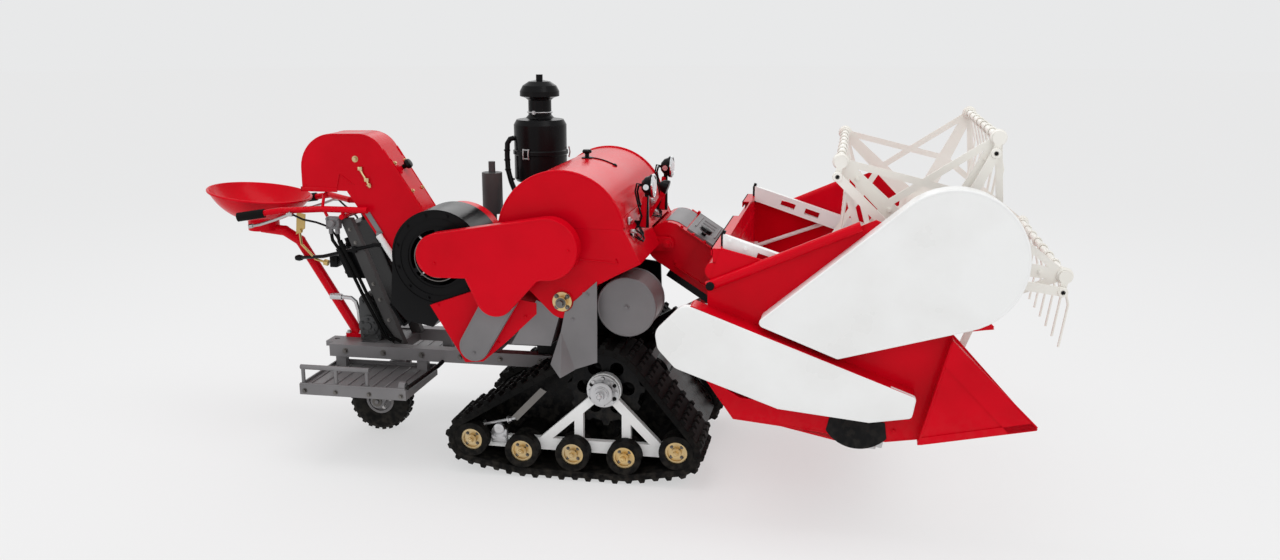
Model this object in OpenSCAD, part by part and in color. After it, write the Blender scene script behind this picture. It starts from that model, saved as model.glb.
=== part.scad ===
// Mini tracked combine harvester with a five-bar reel header, axial threshing drum, grain
// elevator and a seat on a tail wheel. Millimetres, +X forward, +Y left, +Z up. The origin is
// on the ground, midway along and across the machine.

/* [Tracks] */
// Distance between the middles of the two tracks
track_gauge = 570; // [500:5:640]
// Width of a track
track_w = 230; // [180:5:260]
// Thickness of the rubber belt without its lugs
belt_t = 15; // [10:1:20]
// Height of a lug
lug_h = 22; // [14:1:28]
// Lugs in one row round a track
lug_count = 36; // [28:1:44]
// Outer radius of a roller
roller_r = 62; // [52:1:68]
// Distance from one roller to the next
roller_pitch = 187; // [160:1:200]
// Place of the middle roller along the machine
roller_x = 8; // [-20:1:40]
// How far the first and last rollers stand above the others
end_lift = 32; // [15:1:50]
// Inner radius of the belt round the sprocket
sprocket_r = 143; // [120:1:155]
// Place of the drive axle along the machine
axle_x = 115; // [80:1:150]
// Height of the drive axle
axle_z = 330; // [300:1:350]

/* [Chassis] */
// Rear end of the frame rails
rail_rear_x = -1010; // [-1060:5:-980]
// Front end of the frame rails
rail_front_x = 40; // [0:5:55]
// Gap between a rail and the track beside it
rail_gap = 5; // [3:1:15]
// Width of a rail
rail_w = 50; // [40:1:56]
// Bottom of the rails above the ground
rail_z = 342; // [335:1:360]
// Height of a rail
rail_h = 48; // [40:1:56]

/* [Thresher] */
// Length of the threshing housing across the machine
drum_len = 800; // [700:10:860]
// Place of the drum shaft along the machine
drum_x = -20; // [-40:1:0]
// Height of the drum shaft
drum_z = 890; // [870:1:910]
// Outer radius of the round cover
cover_r = 220; // [210:1:230]
// Sheet thickness of the cover
cover_t = 6; // [3:0.5:10]
// Radius over the drum's spikes
spike_r = 176; // [150:1:180]
// Radius of the shaft of the drum
drum_shaft_r = 20; // [14:1:25]

/* [Rear] */
// Rear edge of the operator's seat
seat_rear_x = -1540; // [-1600:5:-1480]
// Radius of the seat's rim
seat_r = 195; // [170:5:215]
// Height of the middle of the seat's rim
seat_z = 945; // [900:5:980]
// Radius of the tail wheel
tail_r = 127; // [110:1:130]
// Width of the tail tyre
tail_w = 76; // [60:1:80]
// Place of the tail wheel's swivel along the machine
swivel_x = -800; // [-840:5:-760]
// Distance that the tail wheel trails its swivel
trail = 76; // [50:1:90]
// Radius of the drawbar hole
drawbar_r = 11; // [8:0.5:14]

/* [Header] */
// Cutting width between the side plates
header_w = 1194; // [1100:2:1260]
// Place of the feeder's pivot along the machine
pivot_x = 285; // [275:1:300]
// Height of the feeder's pivot
pivot_z = 800; // [790:1:815]
// Half the height of the feeder box, and its rear radius
feeder_r = 80; // [70:1:85]
// Distance from the housing's left end to the feeder box
feeder_inset = 50; // [40:1:80]
// Width of the feeder box
feeder_w = 350; // [300:5:380]
// Back of the header's rear wall
wall_x = 550; // [540:1:560]
// Top of the header's rear wall
wall_top_z = 905; // [880:1:930]
// Radius over the auger's flights
auger_r = 110; // [95:1:116]
// Place of the auger along the machine
auger_x = 690; // [680:1:705]
// Height of the auger
auger_z = 485; // [475:1:495]

/* [Reel] */
// Place of the reel shaft along the machine
reel_x = 1203; // [1190:1:1215]
// Height of the reel shaft
reel_z = 895; // [885:1:910]
// Radius from the reel shaft to its tine bars
reel_r = 405; // [385:1:412]
// Angle of the first tine bar above the forward direction
bar_phase = -8; // [-12:1:0]
// Length of a tine below its bar
tine_len = 238; // [200:1:242]
// Tines on one bar
tine_count = 8; // [6:1:9]
// Offset of the ring that keeps the tines hanging
ring_offset = 45; // [35:1:55]

/* [Hidden] */
$fn = 64;

red = "#c8101e";
white = "#f2f2ee";
cream = "#e6e3da";
grey = "#8d9094";
black = "#1b1b1d";
zinc = "#b08a3c";
steel = "#9a9c9e";

// Radial clearance of a running fit, and of a part that only sits in a hole
run_fit = 0.05;
seat_fit = 0.2;

roller_z = roller_r + belt_t + lug_h;
roller_xs = [for (i = [-2:2]) roller_x + i * roller_pitch];
roller_zs = [for (i = [-2:2]) roller_z + (abs(i) == 2 ? end_lift : 0)];
track_in = (track_gauge - track_w) / 2;
track_out = (track_gauge + track_w) / 2;
rail_y = track_in - rail_gap - rail_w / 2;
tail_x = swivel_x - trail;
drum_end = drum_len / 2;
feeder_y0 = drum_end - feeder_inset - feeder_w;
lift_y = feeder_y0 + 80;
lift_base = [165, 430];
lift_eye = [418, 577];
lift_pin_r = 9;
lift_eye_w = 26;
side_y = header_w / 2;
side_t = 5;
guard_y = side_y + 93;
divider_y = side_y + 60;
seat_tilt = 7;
seat_t = 5;
seat_x = seat_rear_x + seat_r * cos(seat_tilt);
bar_count = 5;
bar_r = 12;
tine_wire = 4;
tine_kink = 24;
bar_angles = [for (i = [0:bar_count - 1]) bar_phase + i * 360 / bar_count];
kink_r = tine_wire + 0.2;
front_x = reel_x + max([for (a = bar_angles) reel_r * cos(a)]) + tine_kink + kink_r;
mid_x = (seat_rear_x + front_x) / 2;
mid_y = (divider_y - guard_y) / 2;

module machine() {
    translate([-mid_x, -mid_y, 0]) children();
}

// Extrudes an outline of [x, z] points across the machine
module across(y0, y1) {
    translate([0, y1, 0]) rotate([90, 0, 0]) linear_extrude(y1 - y0) children();
}

// A round bar across the machine
module bar_across(x, z, y0, y1, r) {
    translate([x, y1, z]) rotate([90, 0, 0]) cylinder(r = r, h = y1 - y0);
}

// A round rod from one point to another
module rod(a, b, r) {
    v = b - a;
    translate(a) rotate([0, acos(v[2] / norm(v)), atan2(v[1], v[0])]) cylinder(r = r, h = norm(v));
}

// A bent tube through a list of points
module bent_tube(points, r) {
    for (i = [0:len(points) - 2]) rod(points[i], points[i + 1], r);
    for (i = [1:len(points) - 2]) translate(points[i]) sphere(r = 1.06 * r);
}

// The same shape on the right and on the left
module both_sides() {
    children();
    mirror([0, 1, 0]) children();
}

// Direction of the outer normal of the straight run from disc a to disc b
function run_normal(a, b) = atan2(b[1] - a[1], b[0] - a[0]) - 90
    + asin((a[2] - b[2]) / norm([b[0] - a[0], b[1] - a[1]]));
function positive(a) = a - 360 * floor(a / 360);
function before(discs, i) = discs[(i + len(discs) - 1) % len(discs)];
function after(discs, i) = discs[(i + 1) % len(discs)];
function turn(discs, i) = positive(run_normal(discs[i], after(discs, i))
    - run_normal(before(discs, i), discs[i]));
function turned(discs, i) = i == 0 ? 0 : turned(discs, i - 1) + turn(discs, i - 1);

// Points [x, z, normal] of a band stretched round discs [x, z, r], grown outwards by d
function band(discs, d = 0, step = 8) = [
    for (i = [0:len(discs) - 1])
        let (t = turn(discs, i), k = max(1, ceil(t / step)),
            from = run_normal(before(discs, 0), discs[0]) + turned(discs, i))
        for (j = [0:k])
            let (a = from + t * j / k)
            [discs[i][0] + (discs[i][2] + d) * cos(a), discs[i][1] + (discs[i][2] + d) * sin(a), a]];
function flat(points) = [for (p = points) [p[0], p[1]]];
function arc(x, z, r, a0, a1, n = 12) = [for (i = [0:n]) [x + r * cos(a0 + (a1 - a0) * i / n),
    z + r * sin(a0 + (a1 - a0) * i / n)]];
function step_length(points, i) = norm(flat([points[(i + 1) % len(points)]])[0] - flat([points[i]])[0]);
function distances(points, i = 0, s = 0) = i == len(points) ? []
    : concat([s], distances(points, i + 1, s + step_length(points, i)));

// Closed sheet cover round discs, with a flat outer face at y0 and an open back at y1
module sheet_cover(discs, y0, y1, t) {
    difference() {
        across(y0, y1) polygon(flat(band(discs)));
        across(y0 + t, y1 + 1) polygon(flat(band(discs, -t)));
    }
}

// Chassis

cross_t = 40;
cross_w = 100;
cross_z = rail_z + 2;
cross_xs = [rail_rear_x, swivel_x - cross_w / 2, -480, -190];
boss_r = 30;
boss_drop = 45;
stem_r = 16;
hitch_plate = [100, 80, 20];
hitch_x = rail_rear_x - 45;
module chassis_frame() {
    color(grey) machine() difference() {
        union() {
            both_sides() translate([rail_rear_x, rail_y - rail_w / 2, rail_z])
                cube([rail_front_x - rail_rear_x, rail_w, rail_h]);
            for (x = cross_xs) translate([x, -rail_y, cross_z]) cube([cross_w, 2 * rail_y, cross_t]);
            translate([swivel_x, 0, rail_z - boss_drop]) cylinder(r = boss_r, h = boss_drop + 15);
            translate([hitch_x - 30, -hitch_plate[1] / 2, cross_z]) cube(hitch_plate);
        }
        translate([swivel_x, 0, 0]) cylinder(r = stem_r + run_fit, h = 1000);
        translate([hitch_x, 0, 0]) cylinder(r = drawbar_r, h = 1000);
    }
}

box_w = 2 * (rail_y - rail_w / 2);
housing_r = 45;
flange_r = 62;
axle_r = 22;
sprocket_w = 80;
sprocket_y = track_in + 65;
case_r = 65;
case_z = axle_z;
case_top = case_z + case_r;
case_discs = [[-20, case_z, case_r], [axle_x, axle_z - 35, case_r], [axle_x + 130, case_z, case_r]];
clevis_t = 8;
clevis_ys = [lift_y - lift_eye_w / 2 - 1 - clevis_t, lift_y + lift_eye_w / 2 + 1];
module transmission() {
    color(black) machine() {
        across(-box_w / 2, box_w / 2) polygon(flat(band(case_discs)));
        both_sides() {
            bar_across(axle_x, axle_z, box_w / 2 - 5, box_w / 2 + 14, flange_r);
            bar_across(axle_x, axle_z, box_w / 2 - 5, sprocket_y - 2, housing_r);
            bar_across(axle_x, axle_z, box_w / 2, sprocket_y + sprocket_w - 5, axle_r);
        }
        for (y = clevis_ys) difference() {
            across(y, y + clevis_t)
                polygon([[lift_base[0] - 40, case_top - 1], [lift_base[0] + 30, case_top - 1],
                [lift_base[0] + 16, lift_base[1] + 14], [lift_base[0] - 16, lift_base[1] + 14]]);
            bar_across(lift_base[0], lift_base[1], y - 1, y + clevis_t + 1, lift_pin_r + seat_fit);
        }
    }
}

// Tracks

track_discs = [
    [roller_xs[0], roller_zs[0], roller_r],
    [roller_xs[1], roller_zs[1], roller_r],
    [roller_xs[3], roller_zs[3], roller_r],
    [roller_xs[4], roller_zs[4], roller_r],
    [axle_x, axle_z, sprocket_r]];
track_path = band(track_discs);
track_loop = concat(track_path, [track_path[0] + [0, 0, 360]]);
track_s = distances(track_loop);
track_len = track_s[len(track_s) - 1];
function path_at(s, k) = lookup(s, [for (i = [0:len(track_loop) - 1]) [track_s[i], track_loop[i][k]]]);
lug_base = 34;
lug_tip = 24;
function lug_point(s, along, out) = let (a = path_at(s, 2))
    [path_at(s, 0) + out * cos(a) - along * sin(a), path_at(s, 1) + out * sin(a) + along * cos(a)];
function lugged(shift) = [for (i = [0:lug_count - 1]) let (s = (i + shift) * track_len / lug_count)
    each [lug_point(s, -lug_base / 2, belt_t), lug_point(s, -lug_tip / 2, belt_t + lug_h),
        lug_point(s, lug_tip / 2, belt_t + lug_h), lug_point(s, lug_base / 2, belt_t)]];
module track_half(y0, y1, shift) {
    difference() {
        across(y0, y1) polygon(lugged(shift));
        across(y0 - 1, y1 + 1) polygon(flat(track_path));
    }
}
module track() {
    track_half(track_in, track_gauge / 2, 0.25);
    track_half(track_gauge / 2, track_out, 0.75);
}
module track_right() {
    color(black) machine() mirror([0, 1, 0]) track();
}
module track_left() {
    color(black) machine() track();
}

beam_y = sprocket_y + sprocket_w + 7;
beam_t = 25;
beam_h = 44;
pin_r = 12;
hub_boss_r = 40;
strut_w = 32;
module strut(a, b) {
    v = b - a;
    translate([a[0], a[1]]) rotate(atan2(v[1], v[0])) translate([0, -strut_w / 2])
        square([norm(v), strut_w]);
}
beam_z = roller_z + end_lift / 2;
strut_feet = [roller_xs[1] + 55, roller_xs[4] - 57];
// Height of the slanted strut that starts at foot, above the place x
function strut_z(foot, x) = beam_z + (axle_z - beam_z) * (x - foot) / (axle_x - foot);
module track_frame_outline() {
    difference() {
        union() {
            translate([roller_xs[0] - 25, beam_z - beam_h / 2])
                square([roller_xs[4] - roller_xs[0] + 50, beam_h]);
            for (x = strut_feet) strut([x, beam_z], [axle_x, axle_z]);
            strut([roller_xs[2] + 14, beam_z],
                [roller_xs[2] + 14, strut_z(strut_feet[0], roller_xs[2] + 14)]);
            strut([roller_xs[3], beam_z], [roller_xs[3], strut_z(strut_feet[1], roller_xs[3])]);
            translate([axle_x, axle_z]) circle(r = hub_boss_r + 22);
        }
        for (i = [0:4]) translate([roller_xs[i], roller_zs[i]]) circle(r = pin_r + seat_fit);
        translate([axle_x, axle_z]) circle(r = hub_boss_r + seat_fit);
    }
}
module track_frames() {
    color(white) machine() both_sides() across(beam_y, beam_y + beam_t) track_frame_outline();
}

hub_r = 40;
tyre_gap = 0.3;
outer_roller = [beam_y + beam_t + 6, track_out - 3];
inner_roller = [track_in + 30, beam_y - 6];
module roller_tyres() {
    color(black) machine() both_sides() for (i = [0:4], y = [outer_roller, inner_roller])
        difference() {
            bar_across(roller_xs[i], roller_zs[i], y[0], y[1], roller_r - tyre_gap);
            bar_across(roller_xs[i], roller_zs[i], y[0] - 1, y[1] + 1, hub_r);
        }
}
hub_nut_r = 18;
hub_step = 8;
module roller_hubs() {
    color(zinc) machine() both_sides() for (i = [0:4]) {
        x = roller_xs[i];
        z = roller_zs[i];
        difference() {
            union() {
                bar_across(x, z, outer_roller[0], outer_roller[1] - hub_step, hub_r - tyre_gap);
                bar_across(x, z, inner_roller[0], inner_roller[1], hub_r - tyre_gap);
                bar_across(x, z, inner_roller[1] - 5, outer_roller[0] + 5, pin_r);
                bar_across(x, z, outer_roller[1] - 20, outer_roller[1], hub_nut_r);
            }
            difference() {
                bar_across(x, z, outer_roller[1] - 2 * hub_step, outer_roller[1] + 1, hub_r - hub_step);
                bar_across(x, z, outer_roller[1] - 2 * hub_step - 1, outer_roller[1] + 2, hub_nut_r);
            }
        }
    }
}

tooth_count = 12;
tooth_h = 28;
module sprockets() {
    color(steel) machine() both_sides() across(sprocket_y, sprocket_y + sprocket_w)
        translate([axle_x, axle_z]) difference() {
            union() {
                circle(r = sprocket_r - 18);
                for (i = [0:tooth_count - 1]) rotate(i * 360 / tooth_count)
                    translate([sprocket_r - 2, 0])
                        polygon([[-tooth_h, -20], [0, -9], [0, 9], [-tooth_h, 20]]);
            }
            circle(r = axle_r + seat_fit);
            for (i = [0:5]) rotate(i * 60) translate([80, 0]) circle(r = 25);
        }
}
hub_y = beam_y + beam_t + 3;
hub_flange_r = 58;
hub_cap_r = 38;
hub_bolts = 8;
module drive_hubs() {
    color(steel) machine() both_sides() {
        bar_across(axle_x, axle_z, sprocket_y + sprocket_w, hub_y + 5, hub_boss_r);
        bar_across(axle_x, axle_z, hub_y, hub_y + 12, hub_flange_r);
        bar_across(axle_x, axle_z, hub_y + 10, hub_y + 44, hub_cap_r);
        bar_across(axle_x, axle_z, hub_y + 43, hub_y + 50, hub_cap_r - 10);
        for (i = [0:hub_bolts - 1]) rotate_about(axle_x, axle_z, i * 360 / hub_bolts)
            bar_across(axle_x + hub_flange_r - 10, axle_z, hub_y + 10, hub_y + 20, 6);
    }
}
module rotate_about(x, z, a) {
    translate([x, 0, z]) rotate([0, -a, 0]) translate([-x, 0, -z]) children();
}

// Engine

engine_x = -600;
engine_len = 400;
engine_y0 = rail_y + rail_w / 2;
engine_w = 290;
engine_y1 = engine_y0 + engine_w;
foot_h = 45;
engine_z = rail_z + rail_h + foot_h;
crank = [engine_x + 200, engine_z + 130];
flywheel_r = 140;
flywheel_w = 50;
case_low = engine_z + 55;
crankcase_discs = [[engine_x + 55, case_low, 55], [engine_x + engine_len - 50, case_low, 50],
    [engine_x + engine_len - 45, engine_z + 195, 45], [engine_x + 75, engine_z + 190, 60]];
hopper = [[engine_x + 30, engine_y0 + 30, engine_z + 240], [170, engine_w - 60, 115]];
tank = [[engine_x + 210, engine_y0 + 20, engine_z + 255], [150, engine_w - 40, 95]];
fin_gap = 16;
fin_depth = 10;
muffler = [engine_x + 80, engine_y0 + 235, engine_z + 340];
module engine() {
    color("#3a3c3f") machine() {
        across(engine_y0, engine_y1) polygon(flat(band(crankcase_discs)));
        bar_across(crank[0], crank[1], engine_y0 - 18, engine_y0 + 5, 105);
        bar_across(engine_x + 300, engine_z + 150, engine_y0 - 10, engine_y0 + 5, 62);
        difference() {
            bar_across(crank[0], crank[1], engine_y1 - 5, engine_y1 + flywheel_w, flywheel_r);
            difference() {
                bar_across(crank[0], crank[1], engine_y1 + flywheel_w - 22, engine_y1 + flywheel_w + 1,
                    flywheel_r - 24);
                bar_across(crank[0], crank[1], engine_y1, engine_y1 + flywheel_w + 2, 40);
            }
        }
        difference() {
            translate(hopper[0]) cube(hopper[1]);
            for (z = [hopper[0][2] + 20:fin_gap:hopper[0][2] + hopper[1][2] - 20]) {
                translate([hopper[0][0] + 15, hopper[0][1] + hopper[1][1] - fin_depth, z])
                    cube([hopper[1][0] - 30, fin_depth + 1, fin_gap / 2]);
                translate([hopper[0][0] - 1, hopper[0][1] + 15, z])
                    cube([fin_depth + 1, hopper[1][1] - 30, fin_gap / 2]);
            }
        }
        translate([hopper[0][0] + 110, engine_y0 + 70, hopper[0][2] + hopper[1][2] - 1])
            cylinder(r = 24, h = 22);
        translate(tank[0]) cube(tank[1]);
        translate([tank[0][0] + 40, tank[0][1] + 60, tank[0][2] + tank[1][2] - 1]) cylinder(r = 28, h = 20);
        translate([engine_x + 210, engine_y0 + 40, engine_z + 235]) cube([140, engine_w - 80, 25]);
        translate([muffler[0], muffler[1], muffler[2]]) cylinder(r = 16, h = 60);
        translate([muffler[0], muffler[1], muffler[2] + 50]) cylinder(r = 42, h = 170);
        translate([muffler[0], muffler[1], muffler[2] + 215]) cylinder(r = 14, h = 50);
        for (x = [engine_x + 20, engine_x + engine_len - 80])
            translate([x, rail_y - rail_w / 2, rail_z + rail_h]) cube([60, engine_w + 20, foot_h + 5]);
        bent_tube([[air_x, engine_y0 + 150, tank[0][2] + tank[1][2] - 5],
            [air_x, engine_y0 + 150, air_z - 60],
            [air_x, air_y - 60, air_z - 35], [air_x, air_y, air_z - 35]], 28);
        translate([air_x, air_y, air_z - 62]) cylinder(r = 45, h = 62);
    }
}

air_x = -345;
air_y = 525;
air_z = 950;
air_r = 110;
air_h = 262;
neck_r = 48;
cap_r = 82;
module air_cleaner() {
    color(black) machine() translate([air_x, air_y, air_z]) rotate_extrude() polygon([
        [0, 0], [air_r - 8, 0], [air_r, 12], [air_r, 110], [air_r + 5, 114], [air_r + 5, 128], [air_r, 132],
        [air_r, air_h - 27], [air_r - 12, air_h - 6], [neck_r + 12, air_h], [neck_r, air_h + 13],
        [neck_r, air_h + 73], [neck_r + 12, air_h + 83], [cap_r, air_h + 90], [cap_r, air_h + 110],
        [cap_r - 12, air_h + 133], [neck_r - 4, air_h + 150], [14, air_h + 156], [14, air_h + 178],
        [0, air_h + 178]]);
}

// Threshing housing

seam_z = drum_z + 27;
seam_half = sqrt(cover_r * cover_r - pow(seam_z - drum_z, 2));
rear_x = drum_x - seam_half;
tip = [drum_x + 5, 663, 62];
rear_low = [rear_x, 800];
front_low = [drum_x + 277, 802];
front_mid = [drum_x + 130, 727];
function thresher_outline() = concat(
    [[rear_x, seam_z], rear_low],
    arc(tip[0], tip[1], tip[2], run_normal([rear_low[0], rear_low[1], 0], tip),
        run_normal(tip, [front_mid[0], front_mid[1], 0]) ),
    [front_mid, front_low, [drum_x + seam_half, seam_z]]);
concave_r = 190;
end_wall = 20;
ear_t = 12;
ear_r = 26;
ear_gap = 9;
pivot_pin_r = 14;
hinge = [rear_x - 10, seam_z];
hinge_r = 8;
hinge_pin_r = 4;
knuckle_w = 40;
hinge_ys = [-drum_end + 90, 0, drum_end - 90];
// Leaf and knuckle of the cover's hinge from y0 to y1, with its leaf from z0 to z1
module cover_knuckle(y0, y1, z0, z1) {
    bar_across(hinge[0], hinge[1], y0, y1, hinge_r);
    across(y0, y1) translate([hinge[0], z0]) square([rear_x + 4 - hinge[0], z1 - z0]);
}
module thresher_body() {
    feeder_y1 = feeder_y0 + feeder_w;
    color(red) machine() {
        difference() {
            union() {
                difference() {
                    across(-drum_end, drum_end) polygon(thresher_outline());
                    bar_across(pivot_x, pivot_z, feeder_y0 - ear_gap, feeder_y1 + ear_gap, feeder_r + 8);
                }
                for (y = [feeder_y0 - ear_gap - ear_t, feeder_y1 + ear_gap]) across(y, y + ear_t) {
                    translate([pivot_x, pivot_z]) circle(r = ear_r);
                    translate([front_low[0] - 40, pivot_z - ear_r])
                        square([pivot_x - front_low[0] + 40, 2 * ear_r]);
                }
                for (y = hinge_ys) both_knuckles(y)
                    cover_knuckle(0, knuckle_w, seam_z - hinge_r, seam_z - 0.5);
            }
            bar_across(drum_x, drum_z, -drum_end + end_wall, drum_end - end_wall, concave_r);
            bar_across(drum_x, drum_z, -drum_end - 1, drum_end + 1, drum_shaft_r + run_fit);
            bar_across(pivot_x, pivot_z, feeder_y0 - 50, feeder_y1 + 50, pivot_pin_r + run_fit);
        }
        for (y = hinge_ys) bar_across(hinge[0], hinge[1], y - knuckle_w, y + knuckle_w, hinge_pin_r);
    }
}
// The two fixed knuckles on both sides of the cover's knuckle at y
module both_knuckles(y) {
    for (side = [-1, 1]) translate([0, y + side * knuckle_w - knuckle_w / 2, 0]) children();
}
module drum_cover() {
    color(red) machine() difference() {
        union() {
            difference() {
                bar_across(drum_x, drum_z, -drum_end, drum_end, cover_r);
                bar_across(drum_x, drum_z, -drum_end + cover_t, drum_end - cover_t, cover_r - cover_t);
                translate([drum_x - 500, -1000, seam_z - 999.5]) cube([1000, 2000, 1000]);
            }
            for (y = hinge_ys) cover_knuckle(y - knuckle_w / 2 + 0.5, y + knuckle_w / 2 - 0.5, seam_z + 0.5,
                seam_z + hinge_r);
        }
        bar_across(hinge[0], hinge[1], -drum_end, drum_end, hinge_pin_r + run_fit);
    }
}
drum_disc_r = 120;
drum_bar_r = 14;
drum_bars = 6;
spike_wire = 6;
spike_step = 75;
shaft_end = drum_end - cover_t - 2;
module threshing_drum() {
    color(steel) machine() {
        bar_across(drum_x, drum_z, -shaft_end, shaft_end, drum_shaft_r);
        for (y = [-drum_end + 40, -5, drum_end - 50]) bar_across(drum_x, drum_z, y, y + 10, drum_disc_r);
        for (i = [0:drum_bars - 1]) rotate_about(drum_x, drum_z, i * 360 / drum_bars) {
            bar_across(drum_x + drum_disc_r + 5, drum_z, -drum_end + 30, drum_end - 30, drum_bar_r);
            for (j = [0:8])
                translate([drum_x + drum_disc_r + 10, -drum_end + 70 + (i % 2) * 40 + j * spike_step, drum_z])
                    rotate([0, 90, 0]) cylinder(r = spike_wire, h = spike_r - drum_disc_r - 10);
        }
    }
}
stand_t = 12;
stand_front = 240;
module thresher_stand() {
    rail_top = rail_z + rail_h;
    color(black) machine() both_sides() across(rail_y - stand_t / 2, rail_y + stand_t / 2) difference() {
        polygon([[-180, rail_top], [rail_front_x, rail_top], [stand_front, 560], [stand_front - 5, 700],
            [60, 720], [rear_x, 720]]);
        polygon(thresher_outline());
        polygon(shoe_outline);
        translate([-90, 480]) circle(r = 45);
    }
}

// Belt covers on the right side

plate_y = -drum_end;
guard_drop = 100;
upper_discs = [[-430, 825, 75], [drum_x - 25, drum_z - 30, 105]];
lobe_discs = [[-310, 775, 30], [-228, 690, 68], [-95, 780, 30]];
module upper_outline(d) {
    polygon(flat(band(upper_discs, d)));
    polygon(flat(band(lobe_discs, d)));
}
module belt_guard_upper() {
    color(red) machine() {
        difference() {
            across(plate_y - guard_drop, plate_y - 40) upper_outline(0);
            across(plate_y - guard_drop + 3, plate_y) upper_outline(-3);
        }
        for (p = [[-110, 850], [30, 860], [-150, 800]])
            bar_across(p[0], p[1], plate_y - guard_drop + 1, plate_y, 10);
    }
}
lower_discs = [[-330, 492, 52], [-215, 690, 55]];
module belt_guard_lower() {
    color(grey) machine() sheet_cover(lower_discs, plate_y - 37, plate_y, 3);
}
bearing_r = 34;
module shaft_bearing() {
    color(zinc) machine() {
        bar_across(tip[0], tip[1], plate_y - 14, plate_y, bearing_r);
        bar_across(tip[0], tip[1], plate_y - 34, plate_y - 10, 20);
    }
}

// Fan, elevator and cleaning shoe

fan_x = -473;
fan_z = 793;
fan_r = 170;
fan_y0 = -380;
fan_w = 200;
fan_wall = 6;
fan_shaft_r = 10;
fan_hub_r = 30;
fan_gap = 10;
inlet_r = 100;
rim_ribs = [112, 140, 166];
rib_t = 3.5;
module fan_housing() {
    color(black) machine() difference() {
        union() {
            bar_across(fan_x, fan_z, fan_y0, fan_y0 + fan_w, fan_r);
            across(fan_y0, fan_y0 + fan_w) polygon(fan_chute);
            for (r = rim_ribs) difference() {
                bar_across(fan_x, fan_z, fan_y0 - rib_t, fan_y0 + 1, r);
                bar_across(fan_x, fan_z, fan_y0 - rib_t - 1, fan_y0 + 2, r - rib_t);
            }
        }
        bar_across(fan_x, fan_z, fan_y0 + fan_wall, fan_y0 + fan_w - fan_wall, fan_r - fan_wall);
        across(fan_y0 + fan_wall, fan_y0 + fan_w - fan_wall) polygon(chute_mouth);
        difference() {
            bar_across(fan_x, fan_z, fan_y0 - 1, fan_y0 + fan_wall + 1, inlet_r);
            bar_across(fan_x, fan_z, fan_y0 - 2, fan_y0 + fan_wall + 2, fan_hub_r);
            for (i = [0:2]) rotate_about(fan_x, fan_z, 90 + i * 120)
                translate([fan_x, fan_y0 - 2, fan_z - 8]) cube([fan_r, fan_wall + 4, 16]);
        }
        bar_across(fan_x, fan_z, fan_y0 - 1, fan_y0 + fan_w + 1, fan_shaft_r + run_fit);
    }
}
vane_t = 6;
module fan_rotor() {
    vane_y = [fan_y0 + fan_wall + fan_gap, fan_y0 + fan_w - fan_wall - fan_gap];
    color(steel) machine() {
        bar_across(fan_x, fan_z, fan_y0 - 20, fan_y0 + fan_w - 0.5, fan_shaft_r);
        bar_across(fan_x, fan_z, vane_y[0], vane_y[1], fan_hub_r - 4);
        for (i = [0:3]) rotate_about(fan_x, fan_z, 45 + i * 90)
            translate([fan_x + 20, vane_y[0], fan_z - vane_t / 2])
                cube([fan_r - fan_wall - fan_gap - 24, vane_y[1] - vane_y[0], vane_t]);
    }
}
elevator_y = [-90, 50];
foot_disc = [-590, 640, 104];
head_disc = [-880, 1085, 108];
hood_disc = [-985, 1058, 133];
spout_x = [-1118, -979];
spout_z = 975;
module grain_elevator() {
    color(red) machine() difference() {
        across(elevator_y[0], elevator_y[1]) {
            polygon(flat(band([foot_disc, head_disc])));
            difference() {
                polygon(flat(band([head_disc, hood_disc])));
                translate([spout_x[0] - 1, spout_z - 200]) square([head_disc[0] - spout_x[0], 200]);
            }
            translate([spout_x[0], spout_z]) square([spout_x[1] - spout_x[0], hood_disc[1] - spout_z]);
        }
        translate([spout_x[0] + 5, elevator_y[0] + 5, spout_z - 1])
            cube([spout_x[1] - spout_x[0] - 10, elevator_y[1] - elevator_y[0] - 10, 120]);
    }
}
shoe_outline = [[-500, 625], [-330, 686], [-111, 650], [-111, 611], [-227, 500], [-310, 428],
    [-376, 422]];
fan_chute = [[-640, 800], [-655, 620], [-600, 560], [-500, 540], [-420, 640], [fan_x, 700]];
chute_mouth = [[-634, 800], [-649, 628], [-670, 600], [-600, 545], [-560, 620], [-520, 700]];
panel_t = 16;
module cleaning_shoe() {
    color(red) machine() {
        across(plate_y, plate_y + panel_t) polygon(shoe_outline);
        across(plate_y + panel_t - 1, 100) difference() {
            polygon(shoe_outline);
            translate([fan_x, fan_z]) circle(r = fan_r + seat_fit);
            polygon(fan_chute);
            translate([-700, 0]) square([290, 2000]);
        }
        bar_across(fan_x, fan_z, fan_y0 + fan_w, elevator_y[0], fan_r - 12);
    }
}
fin_t = 4;
fin_y = plate_y - fin_t - 1;
fin_apex = [drum_x - 5, 545];
fin_corner = [drum_x + 41, 418];
fin_outline = [[drum_x + 15, 640], [drum_x + 50, 668], [drum_x + 126, 737], [drum_x + 125, 449],
    fin_corner, fin_apex];
fold_tip = [drum_x, fin_y - 38, 398];
fold_side = [drum_x - 40, fin_y - 6, 434];
pan_outline = [[-111, 660], [-25, 625], [-62, 498], [-205, 498]];
pan_t = 5;
module straw_deflector() {
    color(grey) machine() {
        across(fin_y, fin_y + fin_t) difference() {
            polygon(fin_outline);
            translate([tip[0], tip[1]]) circle(r = bearing_r + 4);
        }
        translate([drum_x + 75, fin_y + fin_t - 1, 684]) cube([24, plate_y - fin_y - fin_t + 1, 12]);
        hull() {
            for (p = [fin_apex, fin_corner]) across(fin_y, fin_y + fin_t) translate(p) square(fin_t);
            for (p = [fold_tip, fold_side]) translate(p) cube(fin_t);
        }
        across(plate_y + 2, plate_y + 2 + pan_t) pan_section();
        across(plate_y + 2, -rail_y - stand_t / 2) difference() {
            pan_section();
            translate([0, pan_t]) polygon(pan_outline);
        }
    }
}
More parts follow.
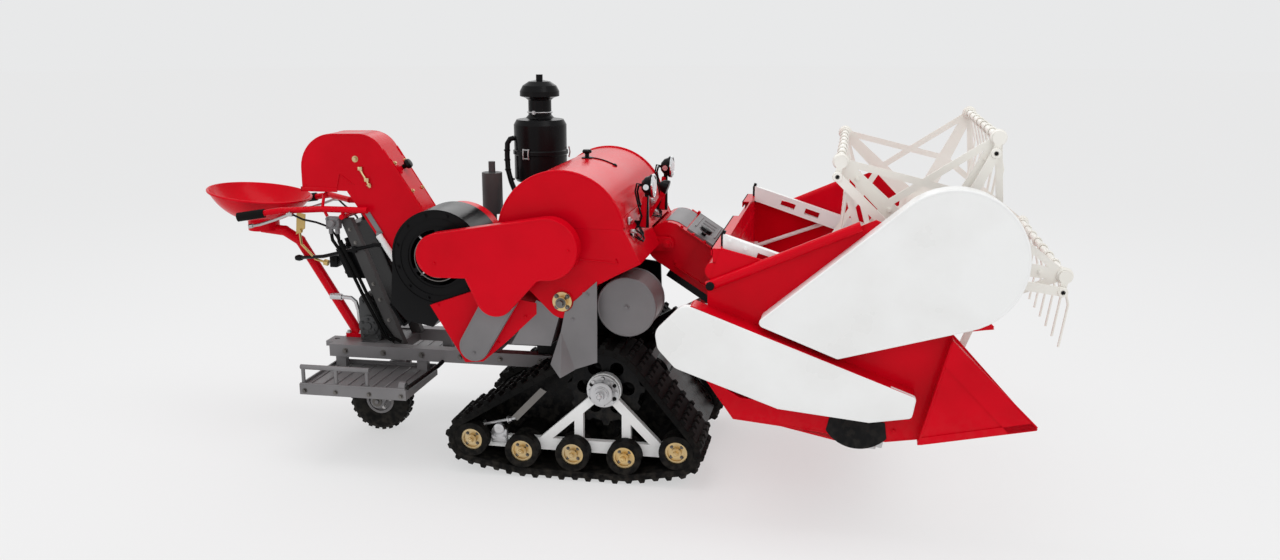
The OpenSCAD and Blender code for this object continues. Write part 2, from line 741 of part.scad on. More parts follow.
// The grain pan's section between the housing and the cleaning shoe
module pan_section() {
    difference() {
        polygon(pan_outline);
        polygon(shoe_outline);
        polygon(thresher_outline());
    }
}
guard_disc = [200, 640, 104];
guard_y_range = [-360, -195];
guard_wall = 4;
guard_hub_r = 18;
module pulley_guard() {
    color(grey) machine() {
        difference() {
            bar_across(guard_disc[0], guard_disc[1], guard_y_range[0], guard_y_range[1], guard_disc[2]);
            bar_across(guard_disc[0], guard_disc[1], guard_y_range[0] + guard_wall, guard_y_range[1] + 1,
                guard_disc[2] - guard_wall);
        }
        bar_across(guard_disc[0], guard_disc[1], guard_y_range[0] + 1, -rail_y - stand_t / 2, guard_hub_r);
    }
}

// Operator's place

step_x = [rail_rear_x, rail_rear_x + 411];
step_y = [rail_y - 40, rail_y + 280];
step_z = 300;
step_d = [step_x[1] - step_x[0], step_y[1] - step_y[0]];
sheet_t = 8;
lip_t = 6;
lip_h = 30;
hanger = [40, 30];
rail_post_r = 7;
rail_tube_r = 9;
hand_z = step_z + 72;
hand_y = step_y[1] - 12;
hand_xs = [step_x[0] + 12, step_x[0] + 140, step_x[0] + 260];
module foot_platforms() {
    color(grey) machine() both_sides() {
        translate([step_x[0], step_y[0], step_z - sheet_t]) cube([step_d[0], step_d[1], sheet_t]);
        difference() {
            translate([step_x[0], step_y[0], step_z - lip_h]) cube([step_d[0], step_d[1], lip_h + 10]);
            translate([step_x[0] + lip_t, step_y[0] + lip_t, step_z - lip_h - 1])
                cube([step_d[0] - 2 * lip_t, step_d[1] - 2 * lip_t, lip_h + 20]);
        }
        for (x = [step_x[0] + 20, step_x[1] - 60]) translate([x, rail_y - hanger[1] / 2, step_z - 5])
            cube([hanger[0], hanger[1], rail_z - step_z + 5]);
        for (x = hand_xs) translate([x, hand_y, step_z - 5])
            cylinder(r = rail_post_r, h = hand_z - step_z + 5);
        rod([hand_xs[0] - 8, hand_y, hand_z], [hand_xs[2] + 10, hand_y, hand_z], rail_tube_r);
    }
}
post_r = 20;
post_x = rail_rear_x + 45;
post_z = rail_z + 2 + cross_t;
seat_depth = 115;
bowl_r = (seat_r * seat_r + seat_depth * seat_depth) / (2 * seat_depth);
seat_low = seat_z - seat_depth;
module seat_place() {
    translate([seat_x, 0, seat_z]) rotate([0, seat_tilt, 0])
        translate([0, 0, bowl_r - seat_depth]) children();
}
module seat_post() {
    color(red) machine() {
        bent_tube([[post_x, 0, post_z + 12], [-1187, 0, 759], [-1250, 0, seat_low - 34],
            [seat_x, 0, seat_low - 24]], post_r);
        translate([post_x - 35, -35, post_z]) cube([70, 70, 16]);
        difference() {
            translate([seat_x + 8, 0, seat_low - 30]) cylinder(r = 60, h = 60);
            seat_place() sphere(r = bowl_r + seat_fit, $fn = 96);
        }
    }
}
module seat() {
    color(red) machine() seat_place() rotate_extrude() difference() {
        circle(r = bowl_r, $fn = 96);
        circle(r = bowl_r - seat_t, $fn = 96);
        translate([-500, seat_depth - bowl_r]) square([1000, 1000]);
        translate([-1000, -500]) square([1000, 1000]);
    }
}
upright_top = [-965, 872];
upright_foot = [swivel_x + 30, post_z];
upright_y = [75, 105];
upright_w = 45;
function upright_x(z) = upright_foot[0]
    + (z - upright_foot[1]) * (upright_top[0] - upright_foot[0]) / (upright_top[1] - upright_foot[1]);
// Strip between two heights along the uprights, from d0 to d1 ahead of their rear edge
module along_upright(z0, z1, d0, d1) {
    polygon([[upright_x(z0) + d0, z0], [upright_x(z0) + d1, z0],
        [upright_x(z1) + d1, z1], [upright_x(z1) + d0, z1]]);
}
module rear_uprights() {
    color(grey) machine() both_sides() across(upright_y[0], upright_y[1])
        along_upright(upright_foot[1], upright_top[1], 0, upright_w);
}
panel_z = [450, 850];
module rear_panel() {
    color(black) machine() across(-upright_y[0] + seat_fit, upright_y[0] - seat_fit) {
        along_upright(panel_z[0], panel_z[1], 28, 34);
        along_upright(panel_z[0], panel_z[0] + 12, 4, upright_w);
        along_upright(panel_z[1] - 12, panel_z[1], 4, upright_w);
    }
}
handle_r = 12;
handle_z = 908;
handle_y = 118;
handle_front = [upright_top[0] + 120, handle_y, handle_z];
handle_bend = [-1150, 205, handle_z + 4];
handle_end = [-1312, 226, 886];
grip_from = handle_bend + 0.4 * (handle_end - handle_bend);
grip_to = handle_bend + 1.03 * (handle_end - handle_bend);
cross_x = upright_top[0] + 20;
cross_r = 10;
riser_r = 7;
module handlebars() {
    color(red) machine() {
        bar_across(cross_x, upright_top[1] + cross_r, -handle_y - 15, handle_y + 15, cross_r);
        both_sides() {
            bent_tube([handle_front, [upright_top[0] - 60, handle_y, handle_z], handle_bend, handle_end],
                handle_r);
            translate([cross_x, handle_y, upright_top[1] + cross_r])
                cylinder(r = riser_r, h = handle_z - upright_top[1] - cross_r);
        }
    }
}
grip_r = 17;
module handle_grips() {
    color(black) machine() both_sides() difference() {
        rod(grip_from, grip_to, grip_r);
        rod(handle_bend, handle_end, handle_r + seat_fit);
    }
}
box_z = [640, 750];
box_d = 75;
module control_box() {
    color(black) machine() across(-upright_y[1] + 5, upright_y[1] - 5)
        along_upright(box_z[0], box_z[1], -box_d, 0);
}

// Lamps

lamp_x = pivot_x - 40;
lamp_foot_z = seam_z - 24;
lamp_r = 40;
lamp_d = 44;
function front_edge(z) = front_low[0]
    + (z - front_low[1]) * (drum_x + seam_half - front_low[0]) / (seam_z - front_low[1]);
module lamp(y, z) {
    translate([lamp_x - lamp_d / 2, y, z]) rotate([0, 90, 0]) rotate_extrude()
        polygon([[0, 0], [16, 2], [30, 14],
        [lamp_r - 4, 30], [lamp_r, 32], [lamp_r, lamp_d], [lamp_r - 5, lamp_d], [lamp_r - 6, lamp_d - 4],
        [0, lamp_d - 2]]);
    across(y - 6, y + 6) polygon([[front_edge(lamp_foot_z), lamp_foot_z], [lamp_x + 4, lamp_foot_z],
        [lamp_x + 4, z], [lamp_x - 10, z], [lamp_x - 10, seam_z], [front_edge(seam_z), seam_z]]);
}
module work_lamps() {
    color(black) machine() {
        lamp(-200, 1042);
        lamp(200, 1060);
    }
}

// Tail wheel

fork_y = tail_w / 2 + 8;
fork_t = 6;
crown_z = 2 * tail_r + 8;
tail_axle_r = 8;
rim_r = 58;
crown_x = [swivel_x - 50, swivel_x + 35];
crown_t = 12;
leg_r = 28;
module tail_fork() {
    color(grey) machine() {
        translate([swivel_x, 0, crown_z]) cylinder(r = stem_r, h = rail_z + rail_h - crown_z + 10);
        translate([swivel_x, 0, crown_z]) cylinder(r = boss_r, h = rail_z - boss_drop - crown_z - 1);
        translate([crown_x[0], -fork_y - fork_t, crown_z])
            cube([crown_x[1] - crown_x[0], 2 * (fork_y + fork_t), crown_t]);
        both_sides() difference() {
            across(fork_y, fork_y + fork_t) {
                polygon(flat(band([[tail_x, tail_r, leg_r], [crown_x[1] - 10, crown_z, 10],
                    [crown_x[0] + 10, crown_z, 10]])));
                translate([crown_x[0], crown_z]) square([crown_x[1] - crown_x[0], crown_t]);
            }
            bar_across(tail_x, tail_r, fork_y - 1, fork_y + fork_t + 1, tail_axle_r + run_fit);
        }
    }
}
half_tyre = [[tail_w / 2 - 12, rim_r + tyre_gap], [tail_w / 2, tail_r - 26], [tail_w / 2 - 10, tail_r - 8],
    [tail_w / 2 - 24, tail_r]];
module tail_tyre() {
    color(black) machine() translate([tail_x, 0, tail_r]) rotate([90, 0, 0]) rotate_extrude()
        polygon(concat([for (p = half_tyre) [p[1], -p[0]]], reversed([for (p = half_tyre) [p[1], p[0]]])));
}
rim_dish = 12;
module tail_rim() {
    rim_y = tail_w / 2 - 14;
    color(grey) machine() {
        difference() {
            bar_across(tail_x, tail_r, -rim_y, rim_y, rim_r);
            for (side = [-1, 1])
                bar_across(tail_x, tail_r, side * rim_y - rim_dish, side * rim_y + rim_dish, rim_r - 10);
        }
        bar_across(tail_x, tail_r, -fork_y - fork_t - 8, fork_y + fork_t + 8, tail_axle_r);
        bar_across(tail_x, tail_r, -fork_y + 2, fork_y - 2, 20);
    }
}

// Feeder and header

feed_dir = atan2(630 - pivot_z, wall_x - pivot_x);
feed_u = [cos(feed_dir), sin(feed_dir)];
feed_v = [-sin(feed_dir), cos(feed_dir)];
function at_wall(p) = [wall_x, p[1] + (wall_x - p[0]) * feed_u[1] / feed_u[0]];
feeder_top = [pivot_x, pivot_z] + feeder_r * feed_v;
feeder_low = [pivot_x, pivot_z] - feeder_r * feed_v;
feeder_wall = 5;
function feeder_outline(d) = concat(
    arc(pivot_x, pivot_z, feeder_r - d, feed_dir + 90, feed_dir + 270, 16),
    [at_wall(feeder_low + d * feed_v), at_wall(feeder_top - d * feed_v)]);
module feeder_house() {
    feeder_y1 = feeder_y0 + feeder_w;
    mouth_z = [at_wall(feeder_low)[1] + 6, at_wall(feeder_top)[1] - 6];
    color(red) machine() {
        difference() {
            across(feeder_y0, feeder_y1) polygon(feeder_outline(0));
            difference() {
                across(feeder_y0 + feeder_wall, feeder_y1 - feeder_wall) polygon(feeder_outline(feeder_wall));
                translate([0, -1000, 0]) cube([pivot_x + 30, 2000, 2000]);
            }
            across(feeder_y0 + feeder_wall, feeder_y1 - feeder_wall)
                translate([wall_x - 2, mouth_z[0]]) square([10, mouth_z[1] - mouth_z[0]]);
            lid_cut();
        }
        bar_across(pivot_x, pivot_z, feeder_y0 - ear_gap - ear_t - 3, feeder_y0 + 5, pivot_pin_r);
        bar_across(pivot_x, pivot_z, feeder_y1 - 5, feeder_y1 + ear_gap + ear_t + 3, pivot_pin_r);
        for (y = clevis_ys) difference() {
            across(y, y + clevis_t) polygon([lift_eye + [-16, -14], lift_eye + [16, -14], lift_eye + [30, 43],
                lift_eye + [-30, 73]]);
            bar_across(lift_eye[0], lift_eye[1], y - 1, y + clevis_t + 1, lift_pin_r + seat_fit);
        }
        bar_across(lift_eye[0], lift_eye[1], lift_y - lift_eye_w, lift_y + lift_eye_w, lift_pin_r);
        on_feeder_top() for (x = [lid_span[0] - knuckle_len, lid_span[1] + 0.5]) difference() {
            translate([x, lid_hinge[0] - 8, lid_hinge[1] - 18]) cube([knuckle_len - 0.5, 16, 26]);
            translate([x - 1, lid_hinge[0], lid_hinge[1]]) rotate([0, 90, 0])
                cylinder(r = lid_pin_r + run_fit, h = knuckle_len + 2);
        }
    }
}
belly_t = 26;
belly_from = 60;
module feeder_belly() {
    rear = feeder_low + belly_from * feed_u;
    front = at_wall(feeder_low);
    color(black) machine() difference() {
        across(feeder_y0, feeder_y0 + feeder_w)
            polygon([rear, front, front - [0, belly_t / feed_v[1]], rear - belly_t * feed_v]);
        translate([0, lift_y - lift_eye_w - 4, 0]) cube([1000, 2 * lift_eye_w + 8, 1000]);
    }
}
lid_span = [30, 150];
lid_hinge = [feeder_y0 + feeder_w + 6, 4.4];
lid_pin_r = 4;
knuckle_len = 12;
lid_t = 8;
module on_feeder_top() {
    translate([feeder_top[0], 0, feeder_top[1]]) rotate([0, -feed_dir, 0]) children();
}
module lid_cut() {
    on_feeder_top() translate([lid_span[0] + 20, feeder_y0 + 30, -20])
        cube([lid_span[1] - lid_span[0] - 40, feeder_w - 60, 40]);
}
knob_r = 22;
module feeder_lid() {
    lid_len = lid_span[1] - lid_span[0];
    color(grey) machine() on_feeder_top() {
        translate([lid_span[0], feeder_y0 + 8, 0.4]) cube([lid_len, feeder_w - 12, lid_t]);
        translate([lid_span[0], lid_hinge[0] - 12, lid_hinge[1] - 2]) cube([lid_len, 12, 4]);
        translate([lid_span[0] - knuckle_len, lid_hinge[0], lid_hinge[1]]) rotate([0, 90, 0])
            cylinder(r = lid_pin_r, h = lid_len + 2 * knuckle_len);
        translate([lid_span[0] + lid_len / 2, feeder_y0 + 60, lid_t]) {
            cylinder(r = 8, h = 14);
            translate([0, 0, 12]) cylinder(r = knob_r, h = 14);
        }
    }
}

trough_r = 140;
trough_t = 5;
floor_dip = 11.7;
floor_len = 330;
tangent_a = 270 - floor_dip;
function trough_path(r) = concat(
    [[auger_x - r, wall_top_z]],
    arc(auger_x, auger_z, r, 180, tangent_a, 10),
    [[auger_x + r * cos(tangent_a) + floor_len * cos(floor_dip),
        auger_z + r * sin(tangent_a) - floor_len * sin(floor_dip)]]);
function reversed(list) = [for (i = [len(list) - 1:-1:0]) list[i]];
trough_end = trough_path(trough_r)[len(trough_path(trough_r)) - 1];
cross_tube = [wall_x - 20, 832, 28];
module header_trough() {
    throat_z = [at_wall(feeder_low)[1] + 8, at_wall(feeder_top)[1] - 8];
    color(red) machine() difference() {
        union() {
            across(-side_y, side_y)
                polygon(concat(trough_path(trough_r), reversed(trough_path(trough_r - trough_t))));
            bar_across(cross_tube[0], cross_tube[1], -side_y, side_y, cross_tube[2]);
        }
        translate([wall_x - 10, feeder_y0 + feeder_wall, throat_z[0]])
            cube([40, feeder_w - 2 * feeder_wall, throat_z[1] - throat_z[0]]);
    }
}
rim_rear = [512, 785];
rim_front = [1024, 1011];
side_outline = [[512, 470], [600, 345], [1086, 300], [1543, 374], [1249, 691], [1090, 985],
    rim_front, rim_rear];
rim_tube_r = 16;
rim_tube_end = rim_rear + 0.92 * (rim_front - rim_rear);
divider_rear = [[1182, 317], [1270, 660]];
divider_tip = [1543, 374];
auger_shaft_r = 20;
reel_shaft_r = 20;
module header_sides() {
    rim_y = side_y + seat_fit + rim_tube_r;
    color(red) machine() both_sides() {
        difference() {
            across(side_y, side_y + side_t) polygon(side_outline);
            bar_across(auger_x, auger_z, side_y - 1, side_y + side_t + 1, auger_shaft_r + run_fit);
        }
        difference() {
            rod([rim_rear[0], rim_y, rim_rear[1]], [rim_tube_end[0], rim_y, rim_tube_end[1]], rim_tube_r);
            rod([rim_rear[0] - 1, rim_y, rim_rear[1] - 0.4], [rim_rear[0] + 60, rim_y, rim_rear[1] + 26.5],
                rim_tube_r - 4);
        }
        hull() {
            across(side_y + side_t - 1, divider_y)
                polygon([divider_rear[0], divider_rear[0] + [12, 4],
                    divider_rear[1] + [4, -8], divider_rear[1]]);
            across(side_y + side_t - 1, side_y + side_t + 4)
                polygon([divider_tip, divider_tip - [10, 3], divider_tip - [10, -8]]);
        }
    }
}
reel_guard_discs = [[700, 694, 14], [928, 606, 14], [1259, 908, 215]];
knife_guard_discs = [[375, 608, 14], [632, 454, 14], [1149, 416, 14], [1155, 473, 14], [474, 726, 14]];
cover_sheet = 3;
face_lip = 22;
module reel_guard() {
    color(white) machine() sheet_cover(reel_guard_discs, -guard_y, -side_y - side_t, cover_sheet);
}
module knife_guard() {
    color(white) machine() sheet_cover(knife_guard_discs, -guard_y, -guard_y + face_lip, cover_sheet);
}
module knife_box() {
    color(red) machine() across(-guard_y + cover_sheet, -side_y - side_t) difference() {
        polygon(flat(band(knife_guard_discs, -cover_sheet - seat_fit)));
        polygon(flat(band(knife_guard_discs, -2 * cover_sheet - seat_fit)));
    }
}
knife_w = 76;
knife_t = 6;
knife_count = 15;
finger = [[1, -9], [1, 9], [60, 7], [98, 2], [98, -2], [60, -7]];
module cutter_bar() {
    pitch = header_w / knife_count;
    color(steel) machine() translate([trough_end[0], 0, trough_end[1]]) rotate([0, floor_dip, 0]) {
        translate([-40, -side_y, -knife_t]) cube([50, header_w, knife_t]);
        for (i = [0:knife_count - 1]) translate([0, -side_y + (i + 0.5) * pitch, -knife_t])
            linear_extrude(knife_t) polygon([[0, -knife_w / 2], [0, knife_w / 2], [75, 8], [75, -8]]);
        for (i = [1:knife_count - 1]) translate([0, -side_y + i * pitch, -knife_t - 8])
            linear_extrude(knife_t + 16) polygon(finger);
    }
}
flight_pitch = 200;
flight_t = 5;
tube_r = 55;
flight_steps = 16;
flight_gap = 20;
finger_r = 6;
// Four corners of the flight's section at step i of n, from the tube's inside to the rim
function flight_ring(i, length, n) = let (a = 360 * i / flight_steps, y = i * length / n)
    [for (c = [[tube_r - 5, -1], [auger_r, -1], [auger_r, 1], [tube_r - 5, 1]])
        [c[0] * cos(a), y + c[1] * flight_t / 2, c[0] * sin(a)]];
// A strip of square rings closed at both ends
module ring_strip(rings) {
    last = 4 * (len(rings) - 1);
    sides = [for (i = [0:len(rings) - 2], k = [0:3])
        let (p = 4 * i + k, q = 4 * i + (k + 1) % 4)
        each [[p, q + 4, q], [p, p + 4, q + 4]]];
    ends = [[0, 1, 2], [0, 2, 3], [last + 2, last + 1, last], [last + 3, last + 2, last]];
    polyhedron([for (r = rings) each r], concat(sides, ends));
}
module flight(length) {
    n = round(flight_steps * length / flight_pitch);
    ring_strip([for (i = [0:n]) flight_ring(i, length, n)]);
}
module auger() {
    feed_to = feeder_y0 + feeder_w;
    color(red) machine() {
        bar_across(auger_x, auger_z, -side_y - side_t - 15, side_y + side_t + 15, auger_shaft_r);
        bar_across(auger_x, auger_z, -side_y + 12, side_y - 12, tube_r);
        translate([auger_x, -side_y + flight_gap, auger_z]) flight(feeder_y0 + side_y - flight_gap);
        translate([auger_x, side_y - flight_gap, auger_z]) mirror([0, 1, 0])
            flight(side_y - flight_gap - feed_to);
        for (j = [0:5]) rotate_about(auger_x, auger_z, j * 100)
            translate([auger_x, feeder_y0 + 35 + j * (feeder_w - 70) / 5, auger_z]) rotate([0, 90, 0])
                cylinder(r = finger_r, h = auger_r);
    }
}
arm_gap = 22;
arm_t = 30;
arm_y = side_y - arm_gap - arm_t;
arm_hole = [60, 24];
stay_y = arm_y + arm_t + 11;
stay_r = 8;
wall_front_x = auger_x - trough_r + trough_t;
arm_root = [wall_front_x, 915];
arm_knee = [1100, 738];
stay_from = [wall_front_x + 8, 690];
stay_to = arm_root + 0.6 * (arm_knee - arm_root);
module reel_arm_outline() {
    fall = atan2(arm_knee[1] - arm_root[1], arm_knee[0] - arm_root[0]);
    difference() {
        polygon([arm_root + [0, 30], arm_root - [0, 30], arm_knee - [0, 33],
            arm_knee + [36, -3], arm_knee + [-5, 34]]);
        for (t = [0.25, 0.43, 0.78]) translate(arm_root + t * (arm_knee - arm_root)) rotate(fall)
            square(arm_hole, center = true);
    }
    polygon([arm_knee + [-30, 30], arm_knee + [30, -10],
        [reel_x + 36, reel_z - 20], [reel_x - 36, reel_z + 20]]);
    translate([reel_x, reel_z]) circle(r = 42);
}
module reel_arms() {
    color(white) machine() difference() {
        union() {
            both_sides() {
                across(arm_y, arm_y + arm_t) reel_arm_outline();
                rod([stay_from[0], stay_y, stay_from[1]], [stay_to[0], stay_y, stay_to[1]], stay_r);
                translate([wall_front_x, stay_y - 9, stay_from[1] - 16]) cube([14, 18, 32]);
                bar_across(stay_to[0], stay_to[1], arm_y + arm_t - 2, stay_y + 9, 13);
            }
            bar_across(reel_x + ring_e[0], reel_z + ring_e[1], -arm_y - 1, ring_y[1] + 2, cam_r);
        }
        bar_across(reel_x, reel_z, -arm_y - arm_t - 1, arm_y + arm_t + 1, reel_shaft_r + run_fit);
    }
}
spider_y = arm_y - 55;
spider_t = 6;
hub_plate_r = 70;
arm_root_w = 62;
arm_tip_w = 34;
strap_w = 22;
strap_reach = 0.52;
bar_boss_r = 26;
function at_angle(r, a) = r * [cos(a), sin(a)];
module strap(a, b, w) {
    v = b - a;
    translate(a) rotate(atan2(v[1], v[0])) translate([0, -w / 2]) square([norm(v), w]);
}
module spider_outline() {
    circle(r = hub_plate_r);
    for (i = [0:bar_count - 1]) {
        a = bar_angles[i];
        rotate(a) {
            polygon([[0, -arm_root_w / 2], [reel_r, -arm_tip_w / 2],
                [reel_r, arm_tip_w / 2], [0, arm_root_w / 2]]);
            translate([reel_r, 0]) circle(r = bar_boss_r);
        }
        for (side = [-1, 1])
            strap(at_angle(reel_r, a), at_angle(strap_reach * reel_r, a + side * 360 / bar_count), strap_w);
    }
}
module reel() {
    color(cream) machine() {
        bar_across(reel_x, reel_z, -arm_y - arm_t, arm_y + arm_t, reel_shaft_r);
        both_sides() difference() {
            across(spider_y, spider_y + spider_t) translate([reel_x, reel_z]) spider_outline();
            for (a = bar_angles)
                bar_across(reel_x + reel_r * cos(a), reel_z + reel_r * sin(a), 0, 1000, bar_r + run_fit);
        }
    }
}
ring_a = -100;
ring_e = ring_offset * [cos(ring_a), sin(ring_a)];
ring_t = 9;
ring_y = [-arm_y + 14, -arm_y + 14 + ring_t];
crank_y = ring_y[1] + 8;
crank_pin_r = 6;
tine_end = spider_y - 35;
tine_bend = 0.42 * tine_len;
collar_r = 20;
module tine_bar(i) {
    x = reel_x + reel_r * cos(bar_angles[i - 1]);
    z = reel_z + reel_r * sin(bar_angles[i - 1]);
    color(cream) machine() {
        bar_across(x, z, crank_y, spider_y + spider_t + 14, bar_r);
        bar_across(x, z, spider_y + spider_t + 1, spider_y + spider_t + 14, collar_r);
        for (j = [0:tine_count - 1]) {
            y = -tine_end + j * 2 * tine_end / (tine_count - 1);
            rod([x, y, z], [x + tine_kink, y, z - tine_bend], tine_wire);
            rod([x + tine_kink, y, z - tine_bend], [x + 5, y, z - tine_len], tine_wire);
            translate([x + tine_kink, y, z - tine_bend]) sphere(r = kink_r);
        }
        across(crank_y - 6, crank_y) {
            translate([x, z]) circle(r = collar_r);
            translate([x + ring_e[0], z + ring_e[1]]) circle(r = 2 * crank_pin_r);
            strap([x, z], [x, z] + ring_e, collar_r);
        }
        bar_across(x + ring_e[0], z + ring_e[1], ring_y[0] - 3, crank_y - 3, crank_pin_r);
    }
}
cam_r = 85;
ring_fit = 0.3;
ring_rim = 25;
ring_arm_w = 28;
module eccentric_ring() {
    ring_x = reel_x + ring_e[0];
    ring_z = reel_z + ring_e[1];
    color(cream) machine() difference() {
        across(ring_y[0], ring_y[1]) translate([ring_x, ring_z]) {
            circle(r = cam_r + ring_rim);
            for (a = bar_angles) {
                strap([0, 0], at_angle(reel_r, a), ring_arm_w);
                translate(at_angle(reel_r, a)) circle(r = crank_pin_r + 10);
            }
        }
        bar_across(ring_x, ring_z, -1000, 0, cam_r + ring_fit);
        for (a = bar_angles)
            bar_across(ring_x + reel_r * cos(a), ring_z + reel_r * sin(a), -1000, 0, crank_pin_r + run_fit);
    }
}
function floor_z(x) = trough_end[1] + (trough_end[0] - x) * tan(floor_dip);
skid_y = [side_y - 217, side_y - 137];
skid_rear_x = 700;
skid_nose_x = trough_end[0];
module skids() {
    tail = skid_nose_x - 60;
    color(black) machine() both_sides() across(skid_y[0], skid_y[1]) polygon([
        [skid_rear_x, floor_z(skid_rear_x)], [skid_rear_x, floor_z(skid_rear_x) - 16],
        [skid_nose_x - 85, trough_end[1] - 19], [skid_nose_x, trough_end[1] - 26], [tail, floor_z(tail)]]);
}

// Lift cylinder under the feeder

lift_a = atan2(lift_eye[1] - lift_base[1], lift_eye[0] - lift_base[0]);
lift_len = norm(lift_eye - lift_base);
rod_r = 14;
eye_r = 21;
eye_play = 4;
barrel_r = 24;
barrel_from = 34;
barrel_to = 175;
rod_from = 120;
module along_lift() {
    translate([lift_base[0], lift_y, lift_base[1]]) rotate([0, 90 - lift_a, 0]) children();
}
module lift_barrel() {
    color(black) machine() difference() {
        union() {
            along_lift() translate([0, 0, barrel_from]) cylinder(r = barrel_r, h = barrel_to - barrel_from);
            along_lift() translate([-10, -lift_eye_w / 2, 0]) cube([20, lift_eye_w, barrel_from + 6]);
            bar_across(lift_base[0], lift_base[1],
                lift_y - lift_eye_w / 2, lift_y + lift_eye_w / 2, eye_r - 1);
            bar_across(lift_base[0], lift_base[1], lift_y - lift_eye_w, lift_y + lift_eye_w, lift_pin_r);
        }
        along_lift() translate([0, 0, barrel_from + 10]) cylinder(r = rod_r + run_fit, h = barrel_to);
    }
}
module lift_rod() {
    color(steel) machine() difference() {
        union() {
            along_lift() translate([0, 0, rod_from]) cylinder(r = rod_r, h = lift_len - rod_from - 17);
            bar_across(lift_eye[0], lift_eye[1],
                lift_y - lift_eye_w / 2 + 1, lift_y + lift_eye_w / 2 - 1, eye_r);
        }
        bar_across(lift_eye[0], lift_eye[1], lift_y - lift_eye_w, lift_y + lift_eye_w, lift_pin_r + eye_play);
    }
}

chassis_frame();
transmission();
track_right();
track_left();
track_frames();
roller_tyres();
roller_hubs();
sprockets();
drive_hubs();
engine();
air_cleaner();
thresher_stand();
thresher_body();
drum_cover();
threshing_drum();
belt_guard_upper();
belt_guard_lower();
shaft_bearing();
fan_housing();
fan_rotor();
grain_elevator();
cleaning_shoe();
straw_deflector();
pulley_guard();
foot_platforms();
seat_post();
seat();
rear_uprights();
rear_panel();
handlebars();
handle_grips();
control_box();
work_lamps();
tail_fork();
tail_tyre();
tail_rim();
feeder_house();
feeder_belly();
feeder_lid();
header_trough();
header_sides();
reel_guard();
knife_guard();
knife_box();
cutter_bar();
auger();
reel_arms();
reel();
tine_bar(1);  // tine_bar_1
tine_bar(2);  // tine_bar_2
tine_bar(3);  // tine_bar_3
tine_bar(4);  // tine_bar_4
tine_bar(5);  // tine_bar_5
eccentric_ring();
skids();
lift_barrel();
lift_rod();
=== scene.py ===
"""Looks of a small tracked rice combine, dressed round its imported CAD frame."""
from math import cos, pi, radians, sin

import bmesh
import bpy
from mathutils import Matrix, Vector
from mathutils.geometry import convex_hull_2d


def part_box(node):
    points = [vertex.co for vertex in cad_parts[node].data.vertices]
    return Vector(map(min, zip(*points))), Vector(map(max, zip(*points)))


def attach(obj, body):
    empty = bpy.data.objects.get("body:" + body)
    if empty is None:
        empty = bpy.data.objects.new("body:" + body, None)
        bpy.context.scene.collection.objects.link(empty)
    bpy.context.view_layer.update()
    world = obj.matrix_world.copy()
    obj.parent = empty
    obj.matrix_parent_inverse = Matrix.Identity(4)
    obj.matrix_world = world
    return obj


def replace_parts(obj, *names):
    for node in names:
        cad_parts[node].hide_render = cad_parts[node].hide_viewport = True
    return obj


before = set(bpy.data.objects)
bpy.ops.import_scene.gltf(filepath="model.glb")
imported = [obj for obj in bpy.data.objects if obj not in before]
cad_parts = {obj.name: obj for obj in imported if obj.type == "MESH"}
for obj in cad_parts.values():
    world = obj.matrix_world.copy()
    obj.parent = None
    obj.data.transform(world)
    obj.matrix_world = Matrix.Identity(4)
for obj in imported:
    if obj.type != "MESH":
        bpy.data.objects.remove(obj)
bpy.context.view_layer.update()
scene = bpy.context.scene

# Studio
# A pale floor that runs out to an even light surround, one wide softbox overhead and large
# lights at the sides and behind, so that enamel and rubber both read clearly.
FLOOR_RADIUS = 40.0
floor_mesh = bmesh.new()
bmesh.ops.create_circle(floor_mesh, cap_ends=True, segments=96, radius=FLOOR_RADIUS)
floor_data = bpy.data.meshes.new("studio_floor")
floor_mesh.to_mesh(floor_data)
floor_mesh.free()
studio_floor = bpy.data.objects.new("studio_floor", floor_data)
scene.collection.objects.link(studio_floor)
floor_paint = bpy.data.materials.new("studio_floor_paint")
floor_paint.use_nodes = True
floor_shader = floor_paint.node_tree.nodes["Principled BSDF"]
floor_shader.inputs["Base Color"].default_value = (0.34, 0.34, 0.342, 1)
floor_shader.inputs["Roughness"].default_value = 0.9
floor_shader.inputs["Specular IOR Level"].default_value = 0.0
floor_shader.inputs["Emission Color"].default_value = (1.0, 1.0, 1.0, 1)
floor_shader.inputs["Emission Strength"].default_value = 0.53
floor_data.materials.append(floor_paint)

surround = bpy.data.worlds.new("surround")
surround.use_nodes = True
sky = surround.node_tree.nodes["Background"]
sky.inputs["Color"].default_value = (0.94, 0.945, 0.95, 1)
sky.inputs["Strength"].default_value = 0.86
scene.world = surround
scene.view_settings.view_transform = "Standard"


def softbox(name, place, target, size, watts):
    """A rectangular area light at a place, turned to a target."""
    data = bpy.data.lights.new(name, "AREA")
    data.shape = "RECTANGLE"
    data.size, data.size_y = size
    data.energy = watts
    lamp = bpy.data.objects.new(name, data)
    lamp.location = place
    lamp.rotation_euler = (Vector(target) - Vector(place)).to_track_quat("-Z", "Y").to_euler()
    scene.collection.objects.link(lamp)


softbox("overhead", (0.0, -0.4, 4.4), (0.1, 0.0, 0.5), (4.5, 1.6), 48)
softbox("key", (2.8, -4.4, 2.9), (0.2, 0.0, 0.6), (1.6, 1.6), 24)
softbox("fill", (-3.6, -3.2, 1.8), (-0.3, 0.0, 0.5), (2.0, 2.0), 8)
softbox("rear", (-0.6, 4.6, 3.0), (0.0, 0.0, 0.6), (3.5, 2.0), 20)

